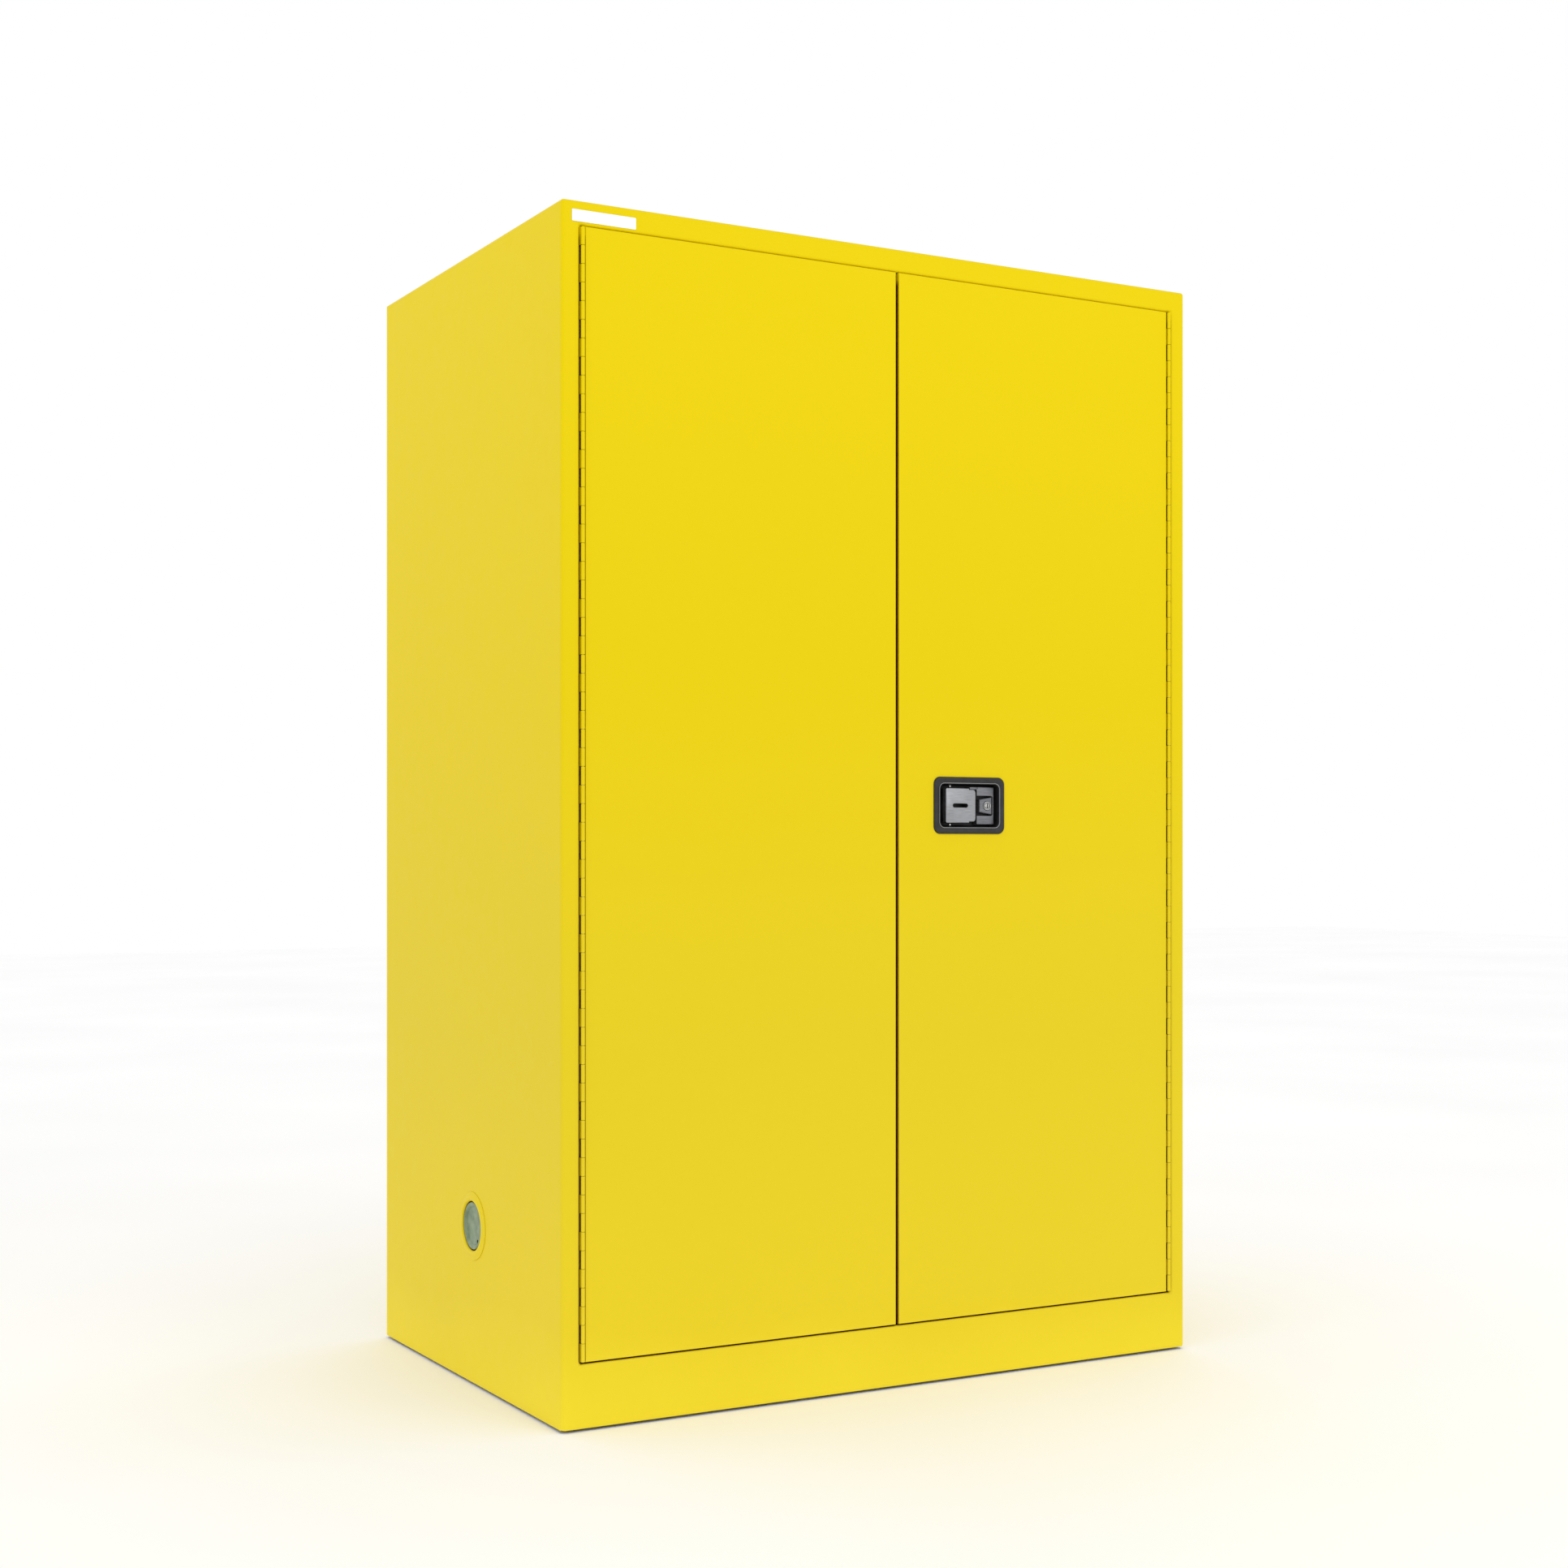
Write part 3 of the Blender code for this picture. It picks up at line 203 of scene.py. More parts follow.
class Finish:
    """A Principled material and the nodes that drive it."""

    def __init__(self, name, roughness, metallic=0.0, **sockets):
        self.material = bpy.data.materials.new(name)
        self.material.use_nodes = True
        self.tree = self.material.node_tree
        self.shader = self.tree.nodes["Principled BSDF"]
        self.shader.inputs["Roughness"].default_value = roughness
        self.shader.inputs["Metallic"].default_value = metallic
        for socket, value in sockets.items():
            self.shader.inputs[socket.replace("_", " ")].default_value = value

    def node(self, kind, settings=None, links=None, **values):
        """Add a node with its settings, its socket values and its links."""
        made = self.tree.nodes.new("ShaderNode" + kind)
        for setting, value in (settings or {}).items():
            setattr(made, setting, value)
        for socket, value in values.items():
            made.inputs[socket.replace("_", " ")].default_value = value
        for socket, source in (links or {}).items():
            self.tree.links.new(source, made.inputs[socket])
        return made

    def ramp(self, source, stops):
        """A colour ramp through (place, hex colour) stops."""
        made = self.node("ValToRGB", links={"Fac": source})
        elements = made.color_ramp.elements
        while len(elements) < len(stops):
            elements.new(0.5)
        for element, (place, code) in zip(elements, stops):
            element.position = place
            element.color = colour(code)
        return made.outputs["Color"]

    def place(self):
        return self.node("TexCoord").outputs["Object"]

    def noise(self, scale, detail=2.0, roughness=0.5, vector=None):
        made = self.node("TexNoise", Scale=scale, Detail=detail, Roughness=roughness)
        self.tree.links.new(vector or self.place(), made.inputs["Vector"])
        return made.outputs["Fac"]

    def stretched(self, x, y, z):
        """Object coordinates scaled apart, for grain that runs one way."""
        made = self.node("Mapping", links={"Vector": self.place()})
        made.inputs["Scale"].default_value = (x, y, z)
        return made.outputs["Vector"]

    def span(self, source, low, high):
        """Map a 0 to 1 value between two limits."""
        made = self.node("MapRange", links={"Value": source}, To_Min=low, To_Max=high)
        return made.outputs["Result"]

    def set(self, socket, source):
        self.tree.links.new(source, self.shader.inputs[socket])

    def bump(self, height, distance, strength=1.0):
        made = self.node("Bump", links={"Height": height}, Distance=distance, Strength=strength)
        self.set("Normal", made.outputs["Normal"])


def yellow_paint():
    """Safety-yellow powder coat with faint orange peel, and painted light graded by height: deep at the top,
    lighter and paler near the floor.

    Painted shade: narrow gaps turn shadow brown below the header; the header seam keeps the unshaded colour.
    """
    finish = Finish("yellow_powder_coat", 0.5, Specular_IOR_Level=0.07)
    height = finish.node("SeparateXYZ", links={"Vector": finish.place()}).outputs["Z"]
    level = finish.node("MapRange", links={"Value": height}, From_Min=0.0, From_Max=1.65)
    cloud = finish.noise(2.2, 3.0)
    drift = finish.node("MapRange", links={"Value": cloud}, To_Min=-0.05, To_Max=0.05)
    mixed = finish.node(
        "Math",
        {"operation": "ADD"},
        {0: level.outputs["Result"], 1: drift.outputs["Result"]},
    )
    # Painted light: the ramp over height makes the paint lighter and paler near the floor to make up for the
    # dimmer light there, and the noise adds random drift of tone.
    paint_with_painted_light = finish.ramp(
        mixed.outputs["Value"],
        [(0.0, "F0DA30"), (0.07, "E6CE28"), (0.3, "E0C922"), (0.6, "E3CA08"), (1.0, "E7CE00")],
    )
    # Painted shade: ambient occlusion turns narrow gaps shadow brown (7A4600) below the header, and the
    # header mask keeps this off the header seam.
    gap_occlusion = finish.node("AmbientOcclusion", {"samples": 8}, Distance=0.02).outputs["AO"]
    unshaded = finish.node("MapRange", links={"Value": gap_occlusion}, From_Min=0.25, From_Max=0.55)
    header = finish.node("MapRange", links={"Value": height}, From_Min=1.598, From_Max=1.606)
    shown = finish.node(
        "Math",
        {"operation": "MAXIMUM"},
        {0: unshaded.outputs["Result"], 1: header.outputs["Result"]},
    )
    mix = finish.node("Mix", {"data_type": "RGBA"})
    finish.tree.links.new(shown.outputs["Value"], mix.inputs["Factor"])
    mix.inputs[6].default_value = colour("7A4600")
    finish.tree.links.new(paint_with_painted_light, mix.inputs[7])
    finish.set("Base Color", mix.outputs[2])
    finish.set("Roughness", finish.span(finish.noise(40.0, 4.0), 0.34, 0.5))
    finish.bump(finish.noise(420.0, 2.0), 0.00006, 0.25)
    return finish.material


def galvanised():
    """Galvanised sheet with its spangle."""
    finish = Finish("galvanised_sheet", 0.42, 0.85)
    cells = finish.node("TexVoronoi", links={"Vector": finish.place()}, Scale=90.0)
    finish.set("Base Color", finish.ramp(cells.outputs["Color"], [(0.0, "8F9598"), (1.0, "C3C8CA")]))
    finish.set("Roughness", finish.span(finish.noise(60.0), 0.3, 0.55))
    finish.bump(finish.noise(700.0), 0.00005, 0.3)
    return finish.material


def black_coat():
    """Satin black coating on die-cast metal, with a soft sheen and a fine grain."""
    finish = Finish("satin_black_coat", 0.3, 0.35)
    finish.set("Base Color", finish.ramp(finish.noise(120.0, 3.0), [(0.3, "1F1F1F"), (0.7, "2A2A2A")]))
    finish.set("Roughness", finish.span(finish.noise(300.0), 0.28, 0.42))
    finish.bump(finish.noise(2400.0), 0.00002, 0.3)
    return finish.material


def dish_painted_shade():
    """Painted shade inside the dish: the black coat made darker, and duller."""
    finish = Finish("dish_painted_shade", 0.5, 0.1)
    finish.set("Base Color", finish.ramp(finish.noise(150.0), [(0.3, "0B0B0C"), (0.7, "141415")]))
    finish.bump(finish.noise(2000.0), 0.00002, 0.3)
    return finish.material


def satin_steel():
    """Satin nickel, brushed along the plate."""
    finish = Finish("satin_nickel", 0.3, 0.9)
    grain = finish.noise(1.0, 4.0, 0.6, finish.stretched(60.0, 60.0, 2200.0))
    finish.set("Base Color", finish.ramp(grain, [(0.3, "808184"), (0.7, "A8A9AC")]))
    finish.set("Roughness", finish.span(grain, 0.24, 0.42))
    finish.bump(grain, 0.00001, 0.5)
    return finish.material


def dark_nickel():
    """Mid-grey brushed plate behind the paddle."""
    finish = Finish("dark_nickel", 0.38, 0.8)
    grain = finish.noise(1.0, 4.0, 0.6, finish.stretched(60.0, 60.0, 1500.0))
    finish.set("Base Color", finish.ramp(grain, [(0.3, "626367"), (0.7, "85868A")]))
    finish.set("Roughness", finish.span(grain, 0.3, 0.5))
    return finish.material


def plated_steel():
    """Bright zinc plate with faint clouding."""
    finish = Finish("bright_zinc", 0.22, 1.0)
    finish.set("Base Color", finish.ramp(finish.noise(90.0, 3.0), [(0.3, "A9AAA8"), (0.7, "D2D3D0")]))
    finish.set("Roughness", finish.span(finish.noise(200.0), 0.16, 0.32))
    return finish.material


def plug_metal():
    """Dull grey-green cast plug."""
    finish = Finish("dull_green_metal", 0.3, 0.6)
    finish.set("Base Color", finish.ramp(finish.noise(70.0, 4.0), [(0.3, "64785F"), (0.7, "8C9C80")]))
    finish.set("Roughness", finish.span(finish.noise(160.0), 0.22, 0.45))
    finish.bump(finish.noise(600.0), 0.00004, 0.3)
    return finish.material


def wire_mesh():
    """Fine woven wire of the flame arrester."""
    finish = Finish("woven_wire", 0.45, 0.9)
    wave = finish.node("TexVoronoi", {"distance": "MANHATTAN"}, {"Vector": finish.place()}, Scale=900.0)
    finish.set("Base Color", finish.ramp(wave.outputs["Distance"], [(0.2, "8A8A86"), (0.6, "2A2A28")]))
    finish.bump(wave.outputs["Distance"], 0.0002, 0.8)
    return finish.material


def label_white():
    """Blank white vinyl with a faint print tint."""
    finish = Finish("white_vinyl", 0.35)
    finish.set("Base Color", finish.ramp(finish.noise(35.0), [(0.3, "F0F0EE"), (0.7, "FAFAF8")]))
    finish.bump(finish.noise(500.0), 0.00001, 0.4)
    return finish.material


def black_rubber():
    """Moulded black rubber."""
    finish = Finish("moulded_rubber", 0.8)
    finish.set("Base Color", finish.ramp(finish.noise(80.0, 4.0), [(0.3, "141414"), (0.7, "232323")]))
    finish.bump(finish.noise(900.0), 0.0001, 0.4)
    return finish.material


def floor_paper():
    """Pale studio paper, barely clouded."""
    finish = Finish("studio_paper", 0.9)
    finish.set("Base Color", finish.ramp(finish.noise(0.8), [(0.3, "FBFBFB"), (0.7, "FFFFFF")]))
    return finish.material


# ---- Case -------------------------------------------------------------------------------------


def welded_case(paint):
    """Sides, top, header, stiles and kick plate welded and ground into one smooth shell."""
    left_low, left_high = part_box("outer_left_side")
    right_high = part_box("outer_right_side")[1]
    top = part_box("outer_top")[1].z
    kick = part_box("kick_plate")[1].z
    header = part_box("header_rail")[0].z
    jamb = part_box("header_rail")
    x0, x1 = left_low.x, right_high.x
    front, back, low = left_low.y, left_high.y, left_low.z
    in0, in1 = jamb[0].x - JAMB_GAP, jamb[1].x + JAMB_GAP
    bm = bmesh.new()

    def corner(x, y, z):
        return bm.verts.new((x, y, z))

    def loop(left, right, y, bottom, up):
        return [corner(left, y, bottom), corner(right, y, bottom), corner(right, y, up), corner(left, y, up)]

    deep = front + JAMB
    outer = loop(x0, x1, front, low, top)
    rear = loop(x0, x1, back, low, top)
    mouth = loop(in0, in1, front, kick, header)
    sill = loop(in0, in1, deep, kick, header)
    bridge(bm, outer, mouth)
    bridge(bm, mouth, sill)
    for i, j in ((1, 2), (2, 3), (3, 0)):
        bm.faces.new((outer[i], outer[j], rear[j], rear[i]))
    for here, x, inward in ((0, x0, 1), (1, x1, -1)):
        edge = x + inward * REAR_FLANGE
        above = 3 if here == 0 else 2
        bm.faces.new((rear[here], rear[above], corner(edge, back, top), corner(edge, back, low)))
    for side, a, b in ((-1, 0, 3), (1, 1, 2)):
        stop = (in0 + RETURN) if side < 0 else (in1 - RETURN)
        bm.faces.new((sill[a], sill[b], corner(stop, deep, header), corner(stop, deep, kick)))
    bmesh.ops.remove_doubles(bm, verts=bm.verts, dist=1e-6)
    bmesh.ops.recalc_face_normals(bm, faces=bm.faces)
    folded = [edge for edge in bm.edges if len(edge.link_faces) == 2 and edge.calc_face_angle() > 0.5]
    bmesh.ops.bevel(bm, geom=folded, offset=EDGE, segments=5, profile=0.5, affect="EDGES")
    replaced = ("outer_left_side", "outer_right_side", "outer_top", "header_rail", "kick_plate")
    case = piece("welded_case", bm, "cabinet", paint, replaced)
    solid = case.modifiers.new("sheet", "SOLIDIFY")
    solid.thickness = SHEET
    solid.offset = -1
    cutters = []
    for word in ("left", "right"):
        a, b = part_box("vent_flange_" + word)
        cut = bmesh.new()
        middle = (a + b) / 2
        turned(cut, [(VENT_HOLE_R, -0.03), (VENT_HOLE_R, 0.03)], middle, (1, 0, 0))
        cutters.append(loose("vent_hole", cut))
    for rod, rail in (("top_rod", header), ("bottom_rod", kick)):
        a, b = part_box(rod)
        cut = bmesh.new()
        strike = ((a.x + b.x) / 2, (a.y + b.y) / 2, rail)
        turned(cut, [(STRIKE_R, -0.02), (STRIKE_R, 0.02)], strike, (0, 0, 1), 24)
        cutters.append(loose("strike_hole", cut))
    without(case, cutters, 35)
    weighted(case)


def hinge(word, paint):
    """Fine knuckles of a continuous hinge, every second one on the door."""
    for parity, (owner, body) in enumerate((("frame", "cabinet"), ("door", f"door_{word}"))):
        name = f"hinge_{owner}_leaf_{word}"
        low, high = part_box(name)
        pin_low, pin_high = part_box(f"hinge_pin_{word}")
        centre = (pin_low + pin_high) / 2
        bm = bmesh.new()
        count = round((high.z - low.z) / KNUCKLE) // 2 * 2 + 1
        step = (high.z - low.z) / count
        side = 1 if low.x + high.x > 2 * centre.x else -1
        flat = high.x if side > 0 else low.x
        for index in range(parity, count, 2):
            z0 = low.z + index * step + KNUCKLE_GAP / 2
            z1 = z0 + step - KNUCKLE_GAP
            soft = 0.0003
            bore = 0.0016
            profile = [
                (bore, 0), (BARREL_R - soft, 0), (BARREL_R, soft), (BARREL_R, z1 - z0 - soft),
                (BARREL_R - soft, z1 - z0), (bore, z1 - z0), (bore, 0),
            ]
            turned(bm, profile, (centre.x, centre.y, z0), (0, 0, 1), 24)
            x0, x1 = sorted((flat, flat - side * SHEET))
            add_box(bm, (x0, centre.y + 0.0018, z0), (x1, centre.y + 0.006, z1))
        x0, x1 = sorted((flat, flat - side * SHEET))
        add_box(bm, (x0, centre.y + 0.0045, low.z), (x1, high.y, high.z), 0.0002, 1)
        piece("fine_" + name, bm, body, paint, (name,))


def label(white):
    """Blank label with rounded corners, stuck to the header."""
    low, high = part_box("label_plate")
    middle = (low + high) / 2
    size = high - low
    rings = []
    for inset, y in ((0.0, high.y), (0.0, low.y + 0.0001), (0.0001, low.y)):
        points = rounded_rectangle(size.x - 2 * inset, size.z - 2 * inset, 0.0015)
        rings.append([(middle.x + p.x, y, middle.z + p.y) for p in points])
    bm = bmesh.new()
    stacked(bm, rings)
    piece("blank_label", bm, "cabinet", white, ("label_plate",))


# ---- Vents ------------------------------------------------------------------------------------


def vent(word, side, paint, metal):
    """Rolled flange with its bore, and the recessed plug with its grip and its chain hole."""
    low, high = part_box("vent_flange_" + word)
    middle = (low + high) / 2
    face = high.x if side > 0 else low.x
    radius = (high.z - low.z) / 2
    cap_low, cap_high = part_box("vent_cap_" + word)
    bore = (cap_high.z - cap_low.z) / 2 + 0.0005
    inward = (-side, 0, 0)
    profile = [(bore + 0.0018, 0.040)]
    profile += [(radius, 0.0026), (radius - 0.0006, 0.0014)]
    for step in range(9):
        angle = math.pi / 2 * step / 8
        profile.append((radius - 0.004 - 0.004 * math.sin(angle), VENT_PROUD * 0.55 * (1 - math.sin(angle))))
    for step in range(9):
        angle = math.pi / 2 * step / 8
        profile.append((bore + 0.003 * (1 - math.sin(angle)), 0.003 * (1 - math.cos(angle))))
    profile += [(bore, 0.040), (bore + 0.0018, 0.040)]
    bm = bmesh.new()
    turned(bm, profile, (face, middle.y, middle.z), inward, 96)
    piece(f"rolled_flange_{word}", bm, "cabinet", paint, (f"vent_flange_{word}",))
    plug(word, side, (face, middle.y, middle.z), bore - PLUG_GAP, metal)


def plug(word, side, face, radius, metal):
    """Screw-in plug: raised rim, dished face, curved grip and a small chain hole."""
    start = CAP_RECESS + 0.0006
    profile = [
        (0.0001, start + 0.0045),
        (radius * 0.45, start + 0.0040),
        (radius * 0.78, start + 0.0030),
        (radius * 0.86, start + 0.0006),
        (radius * 0.92, start),
        (radius - 0.0008, start + 0.0002),
        (radius, start + 0.0010),
        (radius, start + 0.0110),
        (0.0001, start + 0.0110),
    ]
    bm = bmesh.new()
    turned(bm, profile, face, (-side, 0, 0), 96)
    base = Vector(face) + Vector((-side * (start + 0.0035), 0, 0))
    for arm in range(2):
        rings = []
        for step in range(13):
            share = step / 12
            bend = math.radians(-70 + 140 * share) + arm * math.pi
            centre = Vector((0, math.cos(bend) * 0.013, math.sin(bend) * 0.019))
            across = Vector((0, math.cos(bend), math.sin(bend))) * 0.0016
            up = Vector((side * 0.0022, 0, 0))
            section = (-across - up, across - up, across * 0.6 + up, -across * 0.6 + up)
            rings.append([base + centre + offset for offset in section])
        stacked(bm, rings)
    cap = f"vent_cap_{word}"
    thing = piece(f"dished_plug_{word}", bm, cap, metal, (cap,))
    hole = bmesh.new()
    at = Vector(face) + Vector((0, side * radius * 0.38, -radius * 0.62))
    turned(hole, [(0.0028, 0.0), (0.0028, start + 0.0075)], at, (-side, 0, 0), 24)
    without(thing, [loose("chain_hole", hole)], 35)


# ---- Latch ------------------------------------------------------------------------------------


def latch(coat, dark, satin, zinc):
    """Dished bezel, paddle with its slot, back plate, lock housing and key cylinder."""
    low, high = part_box("latch_bezel")
    centre = (low + high) / 2
    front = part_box("door_right_skin")[0].y
    width, height = high.x - low.x, high.z - low.z

    def at(x, y, z):
        return Vector((centre.x + x, front + y, centre.z + z))

    def rings(list_of):
        return [[at(p.x, y, p.y) for p in rounded_rectangle(w, h, r)] for w, h, r, y in list_of]

    bezel(rings, width, height, low.y - front, coat, dark, at)
    paddle_plate(satin)
    nickel = dark_nickel()
    back_plate(nickel)
    lock(at, nickel, zinc)


def bezel(rings, width, height, proud, coat, dark, at):
    """The crowned rim outside, its rolled lip with a painted highlight strip, and the pocket behind it in
    painted shade.
    """
    mouth_w, mouth_h = width - 2 * RIM, height - 2 * RIM
    outside = [(width, height, 0.011, -0.0003)]
    for step in range(7):
        angle = math.pi / 2 * step / 6
        shrink = 0.0036 * (1 - math.cos(angle))
        outside.append((width - 2 * shrink, height - 2 * shrink, 0.011 - shrink, proud * math.sin(angle)))
    outside.append((mouth_w + 0.0085, mouth_h + 0.0085, 0.0105, proud + 0.0010))
    outside.append((mouth_w + 0.0050, mouth_h + 0.0050, 0.0095, proud + 0.0012))
    outside.append((mouth_w + 0.0034, mouth_h + 0.0034, 0.0090, proud + 0.0004))
    outside.append((mouth_w + 0.0016, mouth_h + 0.0016, 0.0085, proud + 0.0006))
    outside.append((mouth_w, mouth_h, 0.0080, proud + 0.0022))
    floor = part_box("latch_bezel")[1].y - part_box("door_right_skin")[0].y
    inside = [
        (mouth_w, mouth_h, 0.0080, proud + 0.0022),
        (mouth_w - 0.0006, mouth_h - 0.0006, 0.0078, 0.004),
        (mouth_w - 0.0016, mouth_h - 0.0016, 0.0076, floor - 0.003),
        (mouth_w - 0.0060, mouth_h - 0.0060, 0.0060, floor - DISH_SHEET),
    ]
    bm = bmesh.new()
    back = [
        (mouth_w + 0.0028, mouth_h + 0.0028, 0.0090, floor),
        (mouth_w + 0.0028, mouth_h + 0.0028, 0.0090, -0.0003),
    ]
    stacked(bm, rings(back + outside), cap_first=True, cap_last=False)
    piece("crowned_bezel", bm, "door_right", coat, ("latch_bezel",), 40)
    # Painted highlight: a strip of satin steel along the rolled lip stands in for the highlight line on it.
    lip = [
        (mouth_w + 0.0034, mouth_h + 0.0034, 0.0090, proud + 0.00035),
        (mouth_w + 0.0026, mouth_h + 0.0026, 0.0087, proud + 0.00010),
        (mouth_w + 0.0016, mouth_h + 0.0016, 0.0085, proud + 0.00055),
    ]
    bm = bmesh.new()
    stacked(bm, rings(lip), cap_first=False, cap_last=False)
    piece("lip_painted_highlight", bm, "door_right", MATERIALS["satin_steel"])
    bm = bmesh.new()
    stacked(bm, rings(inside), cap_first=False, cap_last=True)
    # Painted shade: the pocket takes the darker dish colour for the shade in the recess.
    pocket = piece("latch_pocket", bm, "door_right", dark)
    pocket.data.flip_normals()
    bm = bmesh.new()
    for z in (-0.0285, 0.0285):
        head = [(0.0001, -0.0012), (0.0012, -0.0008), (0.0016, 0.0), (0.0016, 0.001)]
        turned(bm, head, at(-0.0310, 0.0045, z), (0, 1, 0), 24)
    piece("pin_heads", bm, "door_right", MATERIALS["plated_steel"])


def paddle_plate(satin):
    """Pull plate with crowned edges, stepped free corners and a long slot."""
    low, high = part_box("paddle")
    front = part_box("door_right_skin")[0].y
    x0, x1, z0, z1 = low.x, high.x, low.z, high.z
    step_x = x1 - 0.0118
    step = 0.0018
    outline = [
        (x0 + 0.002, z0), (step_x, z0), (step_x + 0.0006, z0 + step), (x1 - 0.004, z0 + step),
        (x1 - 0.0012, z0 + step + 0.0012), (x1, z0 + step + 0.004), (x1, z1 - step - 0.004),
        (x1 - 0.0012, z1 - step - 0.0012), (x1 - 0.004, z1 - step), (step_x + 0.0006, z1 - step),
        (step_x, z1), (x0 + 0.002, z1), (x0 + 0.0006, z1 - 0.0006), (x0, z1 - 0.002),
        (x0, z0 + 0.002), (x0 + 0.0006, z0 + 0.0006),
    ]
    face, rear = low.y, front + 0.0110
    middle = Vector(((x0 + x1) / 2, 0, (z0 + z1) / 2))
    bm = bmesh.new()
    rings = []
    skirt = ((0.0012, face + 0.0015), (0.0012, rear), (0.0, rear), (0.0, face + 0.0012))
    for inset, y in (*skirt, (0.0003, face + 0.0005), (0.0010, face)):
        sx = 1 - 2 * inset / (x1 - x0)
        sz = 1 - 2 * inset / (z1 - z0)
        rings.append(
            [(middle.x + (x - middle.x) * sx, y, middle.z + (z - middle.z) * sz) for x, z in outline]
        )
    stacked(bm, rings)
    plate = piece("crowned_paddle", bm, "paddle", satin, ("paddle",))
    slot = bmesh.new()
    slot_x = middle.x - 0.001
    ring = rounded_rectangle(0.027, 0.0062, 0.00305)
    stacked(slot, [[(slot_x + p.x, y, middle.z + p.y) for p in ring] for y in (face - 0.002, face + 0.006)])
    pin_low, pin_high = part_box("paddle_pin")
    bore = bmesh.new()
    reach = (pin_high.z - pin_low.z) / 2 + 0.01
    turned(bore, [(PIN_BORE, -reach), (PIN_BORE, reach)], (pin_low + pin_high) / 2, (0, 0, 1), 24)
    without(plate, [loose("paddle_slot", slot), loose("pin_bore", bore)])


def back_plate(nickel):
    """Plate behind the paddle's free edge, with the finger recess cut through it."""
    low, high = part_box("latch_back_plate")
    bm = bmesh.new()
    add_box(bm, (low.x, low.y, low.z), (high.x, high.y, high.z), 0.0006)
    for z0, z1 in ((low.z, low.z + 0.0035), (high.z - 0.0035, high.z)):
        add_box(bm, (low.x - 0.0125, low.y, z0), (low.x + 0.002, high.y - 0.0002, z1), 0.0006)
    plate = piece("finger_plate", bm, "door_right", nickel, ("latch_back_plate",))
    cut = bmesh.new()
    ring = rounded_rectangle(0.0340, 0.030, 0.003)
    x = high.x - 0.0023 - 0.0170
    z = (low.z + high.z) / 2
    stacked(cut, [[(x + p.x, y, z + p.y) for p in ring] for y in (low.y - 0.005, high.y + 0.005)])
    without(plate, [loose("finger_hole", cut)])


def lock(at, nickel, zinc):
    """Tapered housing and the chromed key cylinder with its keyway."""
    low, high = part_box("lock_housing")
    plug_low, plug_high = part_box("key_plug")
    centre = Vector(((plug_low.x + plug_high.x) / 2, plug_low.y, at(0, 0, 0).z))
    short, tall = 0.0095, (high.z - low.z) / 2
    block = [(low.x, -short), (high.x, -tall), (high.x, tall), (low.x, short)]
    bm = bmesh.new()
    rings = []
    for inset, y in ((0.0, high.y), (0.0, low.y + 0.0008), (0.0008, low.y)):
        middle = (low.x + high.x) / 2
        rings.append([
            (x + math.copysign(inset, middle - x), y, centre.z + z - math.copysign(inset, z))
            for x, z in block
        ])
    stacked(bm, rings)
    housing = piece("tapered_housing", bm, "door_right", nickel, ("lock_housing",))
    cut = bmesh.new()
    turned(cut, [(0.0071, -0.004), (0.0071, 0.02)], centre, (0, 1, 0), 48)
    without(housing, [loose("housing_bore", cut)])
    radius = 0.0066
    bm = bmesh.new()
    turned(
        bm,
        [
            (0.0001, 0.0), (0.0034, 0.0002), (0.0039, 0.0008), (0.0039, 0.0035), (0.0053, 0.0035),
            (0.0053, 0.0004), (0.0056, 0.0), (radius - 0.0003, 0.0), (radius, 0.0006), (radius, 0.010),
            (0.0001, 0.010),
        ],
        centre,
        (0, 1, 0),
        48,
    )
    cylinder = piece("key_cylinder", bm, "key_plug", zinc, ("key_plug",))
    cut = bmesh.new()
    add_box(cut, centre + Vector((-0.0008, -0.004, -0.0036)), centre + Vector((0.0008, 0.006, 0.0036)))
    without(cylinder, [loose("keyway", cut)])


# ---- Finishes on the kept nodes, stage, lights and camera ---------------------------------------


def paint_nodes():
    """Every kept CAD node takes the finish of its slot."""
    for sub in frame["record"]["subparts"]:
        mesh = frame["nodes"][sub["node"]]
        dull = sub["node"] in HIDDEN_STEEL
        material = MATERIALS["black_coat" if dull else sub["material_slot"]]
        for place in mesh.material_slots:
            place.material = material


def floor(paper):
    """Pale flat floor, far wider than the view."""
    bm = bmesh.new()
    far = FLOOR_HALF
    corners = [(-far, -far, 0), (far, -far, 0), (far, far, 0), (-far, far, 0)]
    bm.faces.new([bm.verts.new(point) for point in corners])
    mesh = bpy.data.meshes.new("studio_floor")
    bm.to_mesh(mesh)
    bm.free()
    mesh.materials.append(paper)
    thing = bpy.data.objects.new("studio_floor", mesh)
    bpy.context.scene.collection.objects.link(thing)


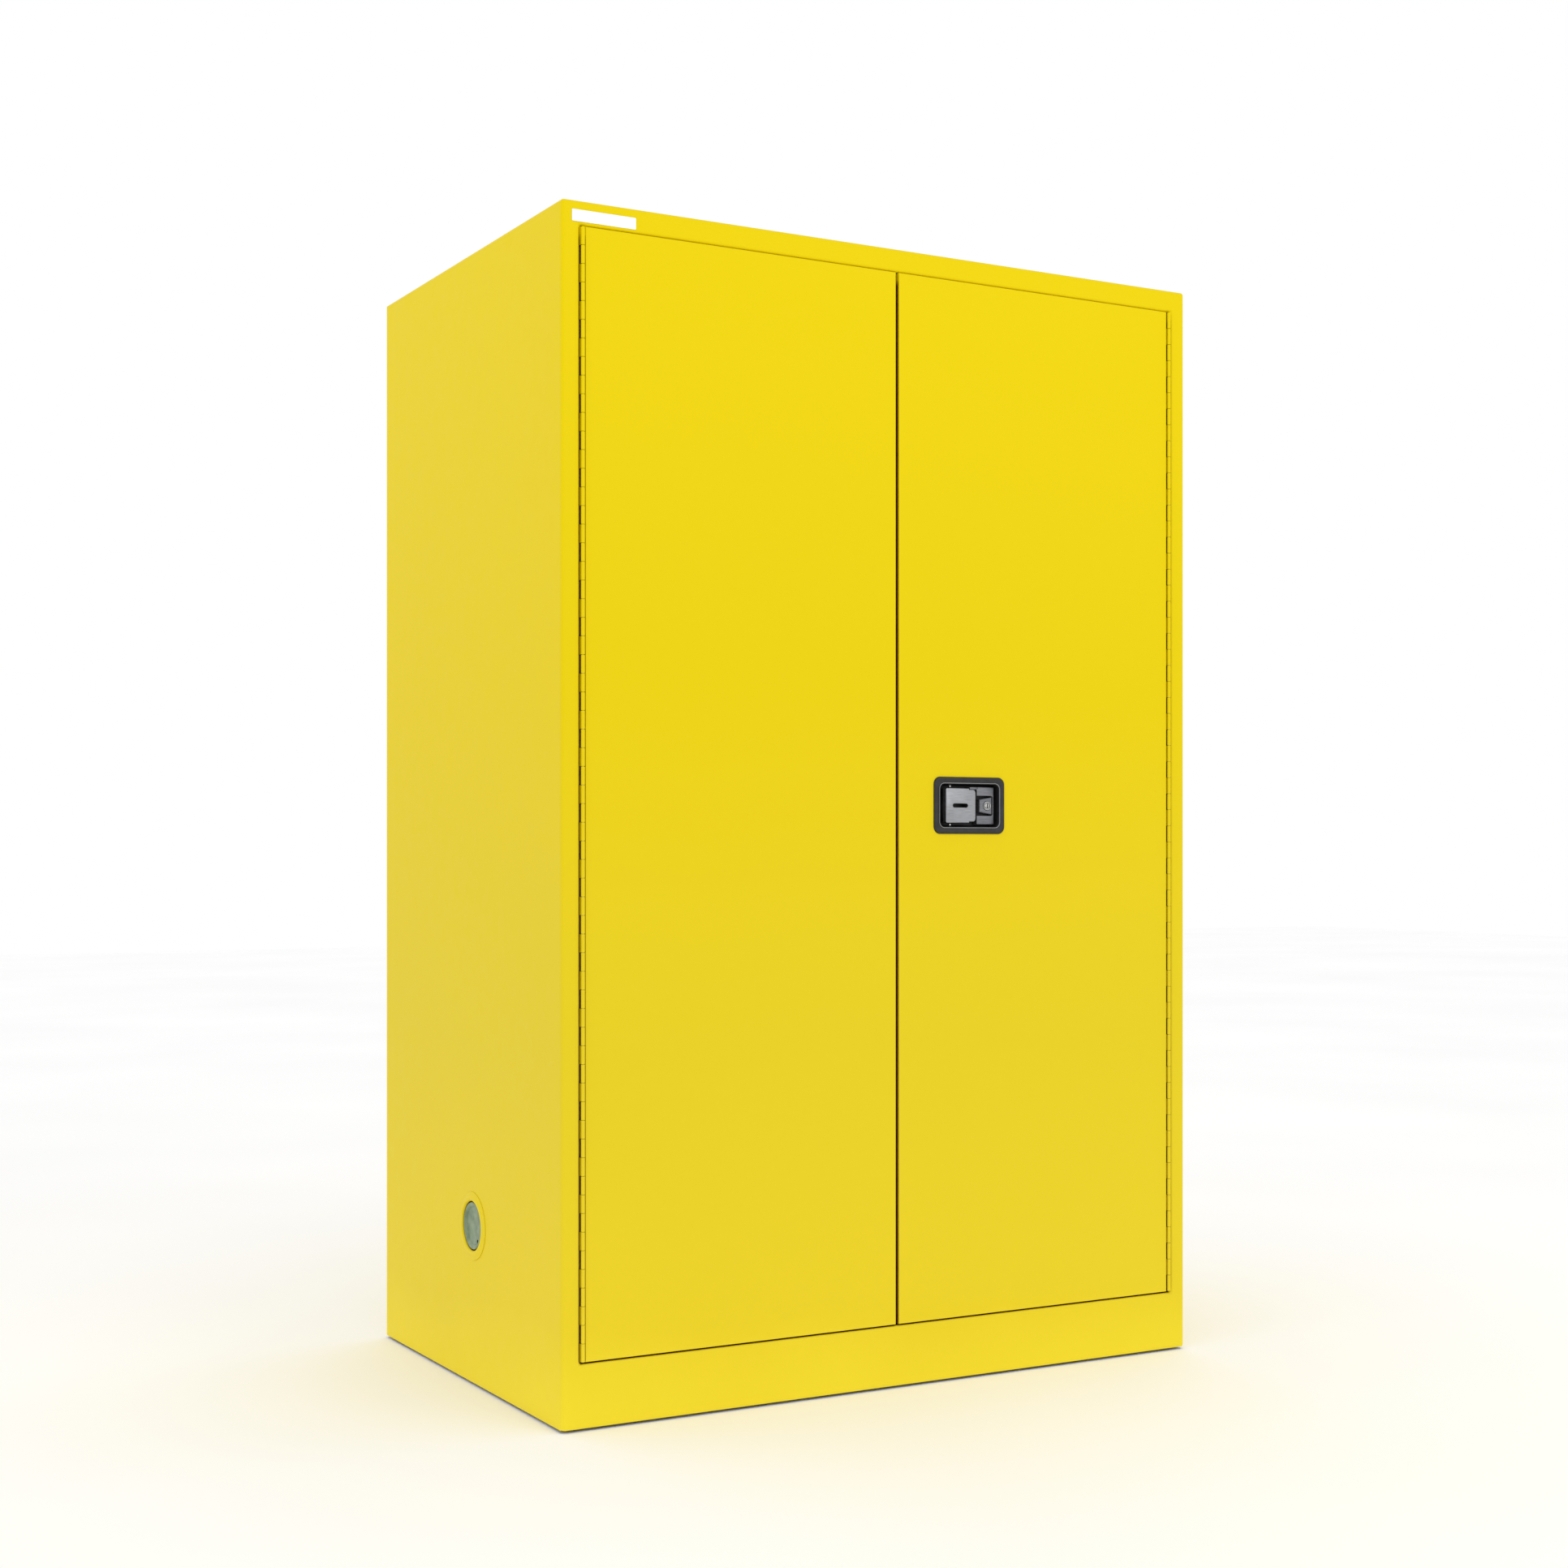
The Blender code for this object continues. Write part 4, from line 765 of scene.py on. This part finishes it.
def area_light(name, place, aim, size, power):
    """A square soft box."""
    lamp = bpy.data.lights.new(name, "AREA")
    lamp.shape = "RECTANGLE"
    lamp.size, lamp.size_y = size
    lamp.energy = power
    thing = bpy.data.objects.new(name, lamp)
    thing.location = place
    thing.rotation_euler = (Vector(aim) - Vector(place)).to_track_quat("-Z", "Y").to_euler()
    bpy.context.scene.collection.objects.link(thing)


def studio():
    """White surroundings with a large key light at the front and a weaker fill at the left."""
    scene = bpy.context.scene
    scene.view_settings.view_transform = "Standard"
    world = bpy.data.worlds.new("white_studio")
    world.use_nodes = True
    world.node_tree.nodes["Background"].inputs["Color"].default_value = (1, 1, 1, 1)
    world.node_tree.nodes["Background"].inputs["Strength"].default_value = 1.0
    scene.world = world
    middle = (0, 0, 0.9)
    area_light("front_key", (1.2, -4.5, 2.6), middle, (3.0, 3.0), 25)
    area_light("left_fill", (-4.5, -1.0, 2.0), middle, (2.5, 2.5), 8)


def camera():
    """Level camera to the front left, its height a little under half of the cabinet's."""
    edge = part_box("outer_left_side")[0]
    turn = math.radians(TURN)
    ahead = Vector((math.sin(turn), math.cos(turn), 0))
    right = Vector((math.cos(turn), -math.sin(turn), 0))
    data = bpy.data.cameras.new("camera")
    data.lens = LENS
    data.shift_y = RISE
    thing = bpy.data.objects.new("camera", data)
    place = Vector((edge.x, edge.y, 0)) + right * ASIDE - ahead * AWAY
    thing.location = (place.x, place.y, EYE_HEIGHT)
    thing.rotation_euler = (math.pi / 2, 0, -turn)
    bpy.context.scene.collection.objects.link(thing)
    bpy.context.scene.camera = thing


camera()
MATERIALS = {
    "yellow_paint": yellow_paint(),
    "galvanised_steel": galvanised(),
    "black_coat": black_coat(),
    "satin_steel": satin_steel(),
    "plated_steel": plated_steel(),
    "plug_metal": plug_metal(),
    "mesh_wire": wire_mesh(),
    "white_label": label_white(),
    "black_rubber": black_rubber(),
}
paint_nodes()
welded_case(MATERIALS["yellow_paint"])
for hinge_side in ("left", "right"):
    hinge(hinge_side, MATERIALS["yellow_paint"])
label(MATERIALS["white_label"])
for vent_word, vent_side in (("left", -1), ("right", 1)):
    vent(vent_word, vent_side, MATERIALS["yellow_paint"], MATERIALS["plug_metal"])
latch(MATERIALS["black_coat"], dish_painted_shade(), MATERIALS["satin_steel"], MATERIALS["plated_steel"])
floor(floor_paper())
studio()
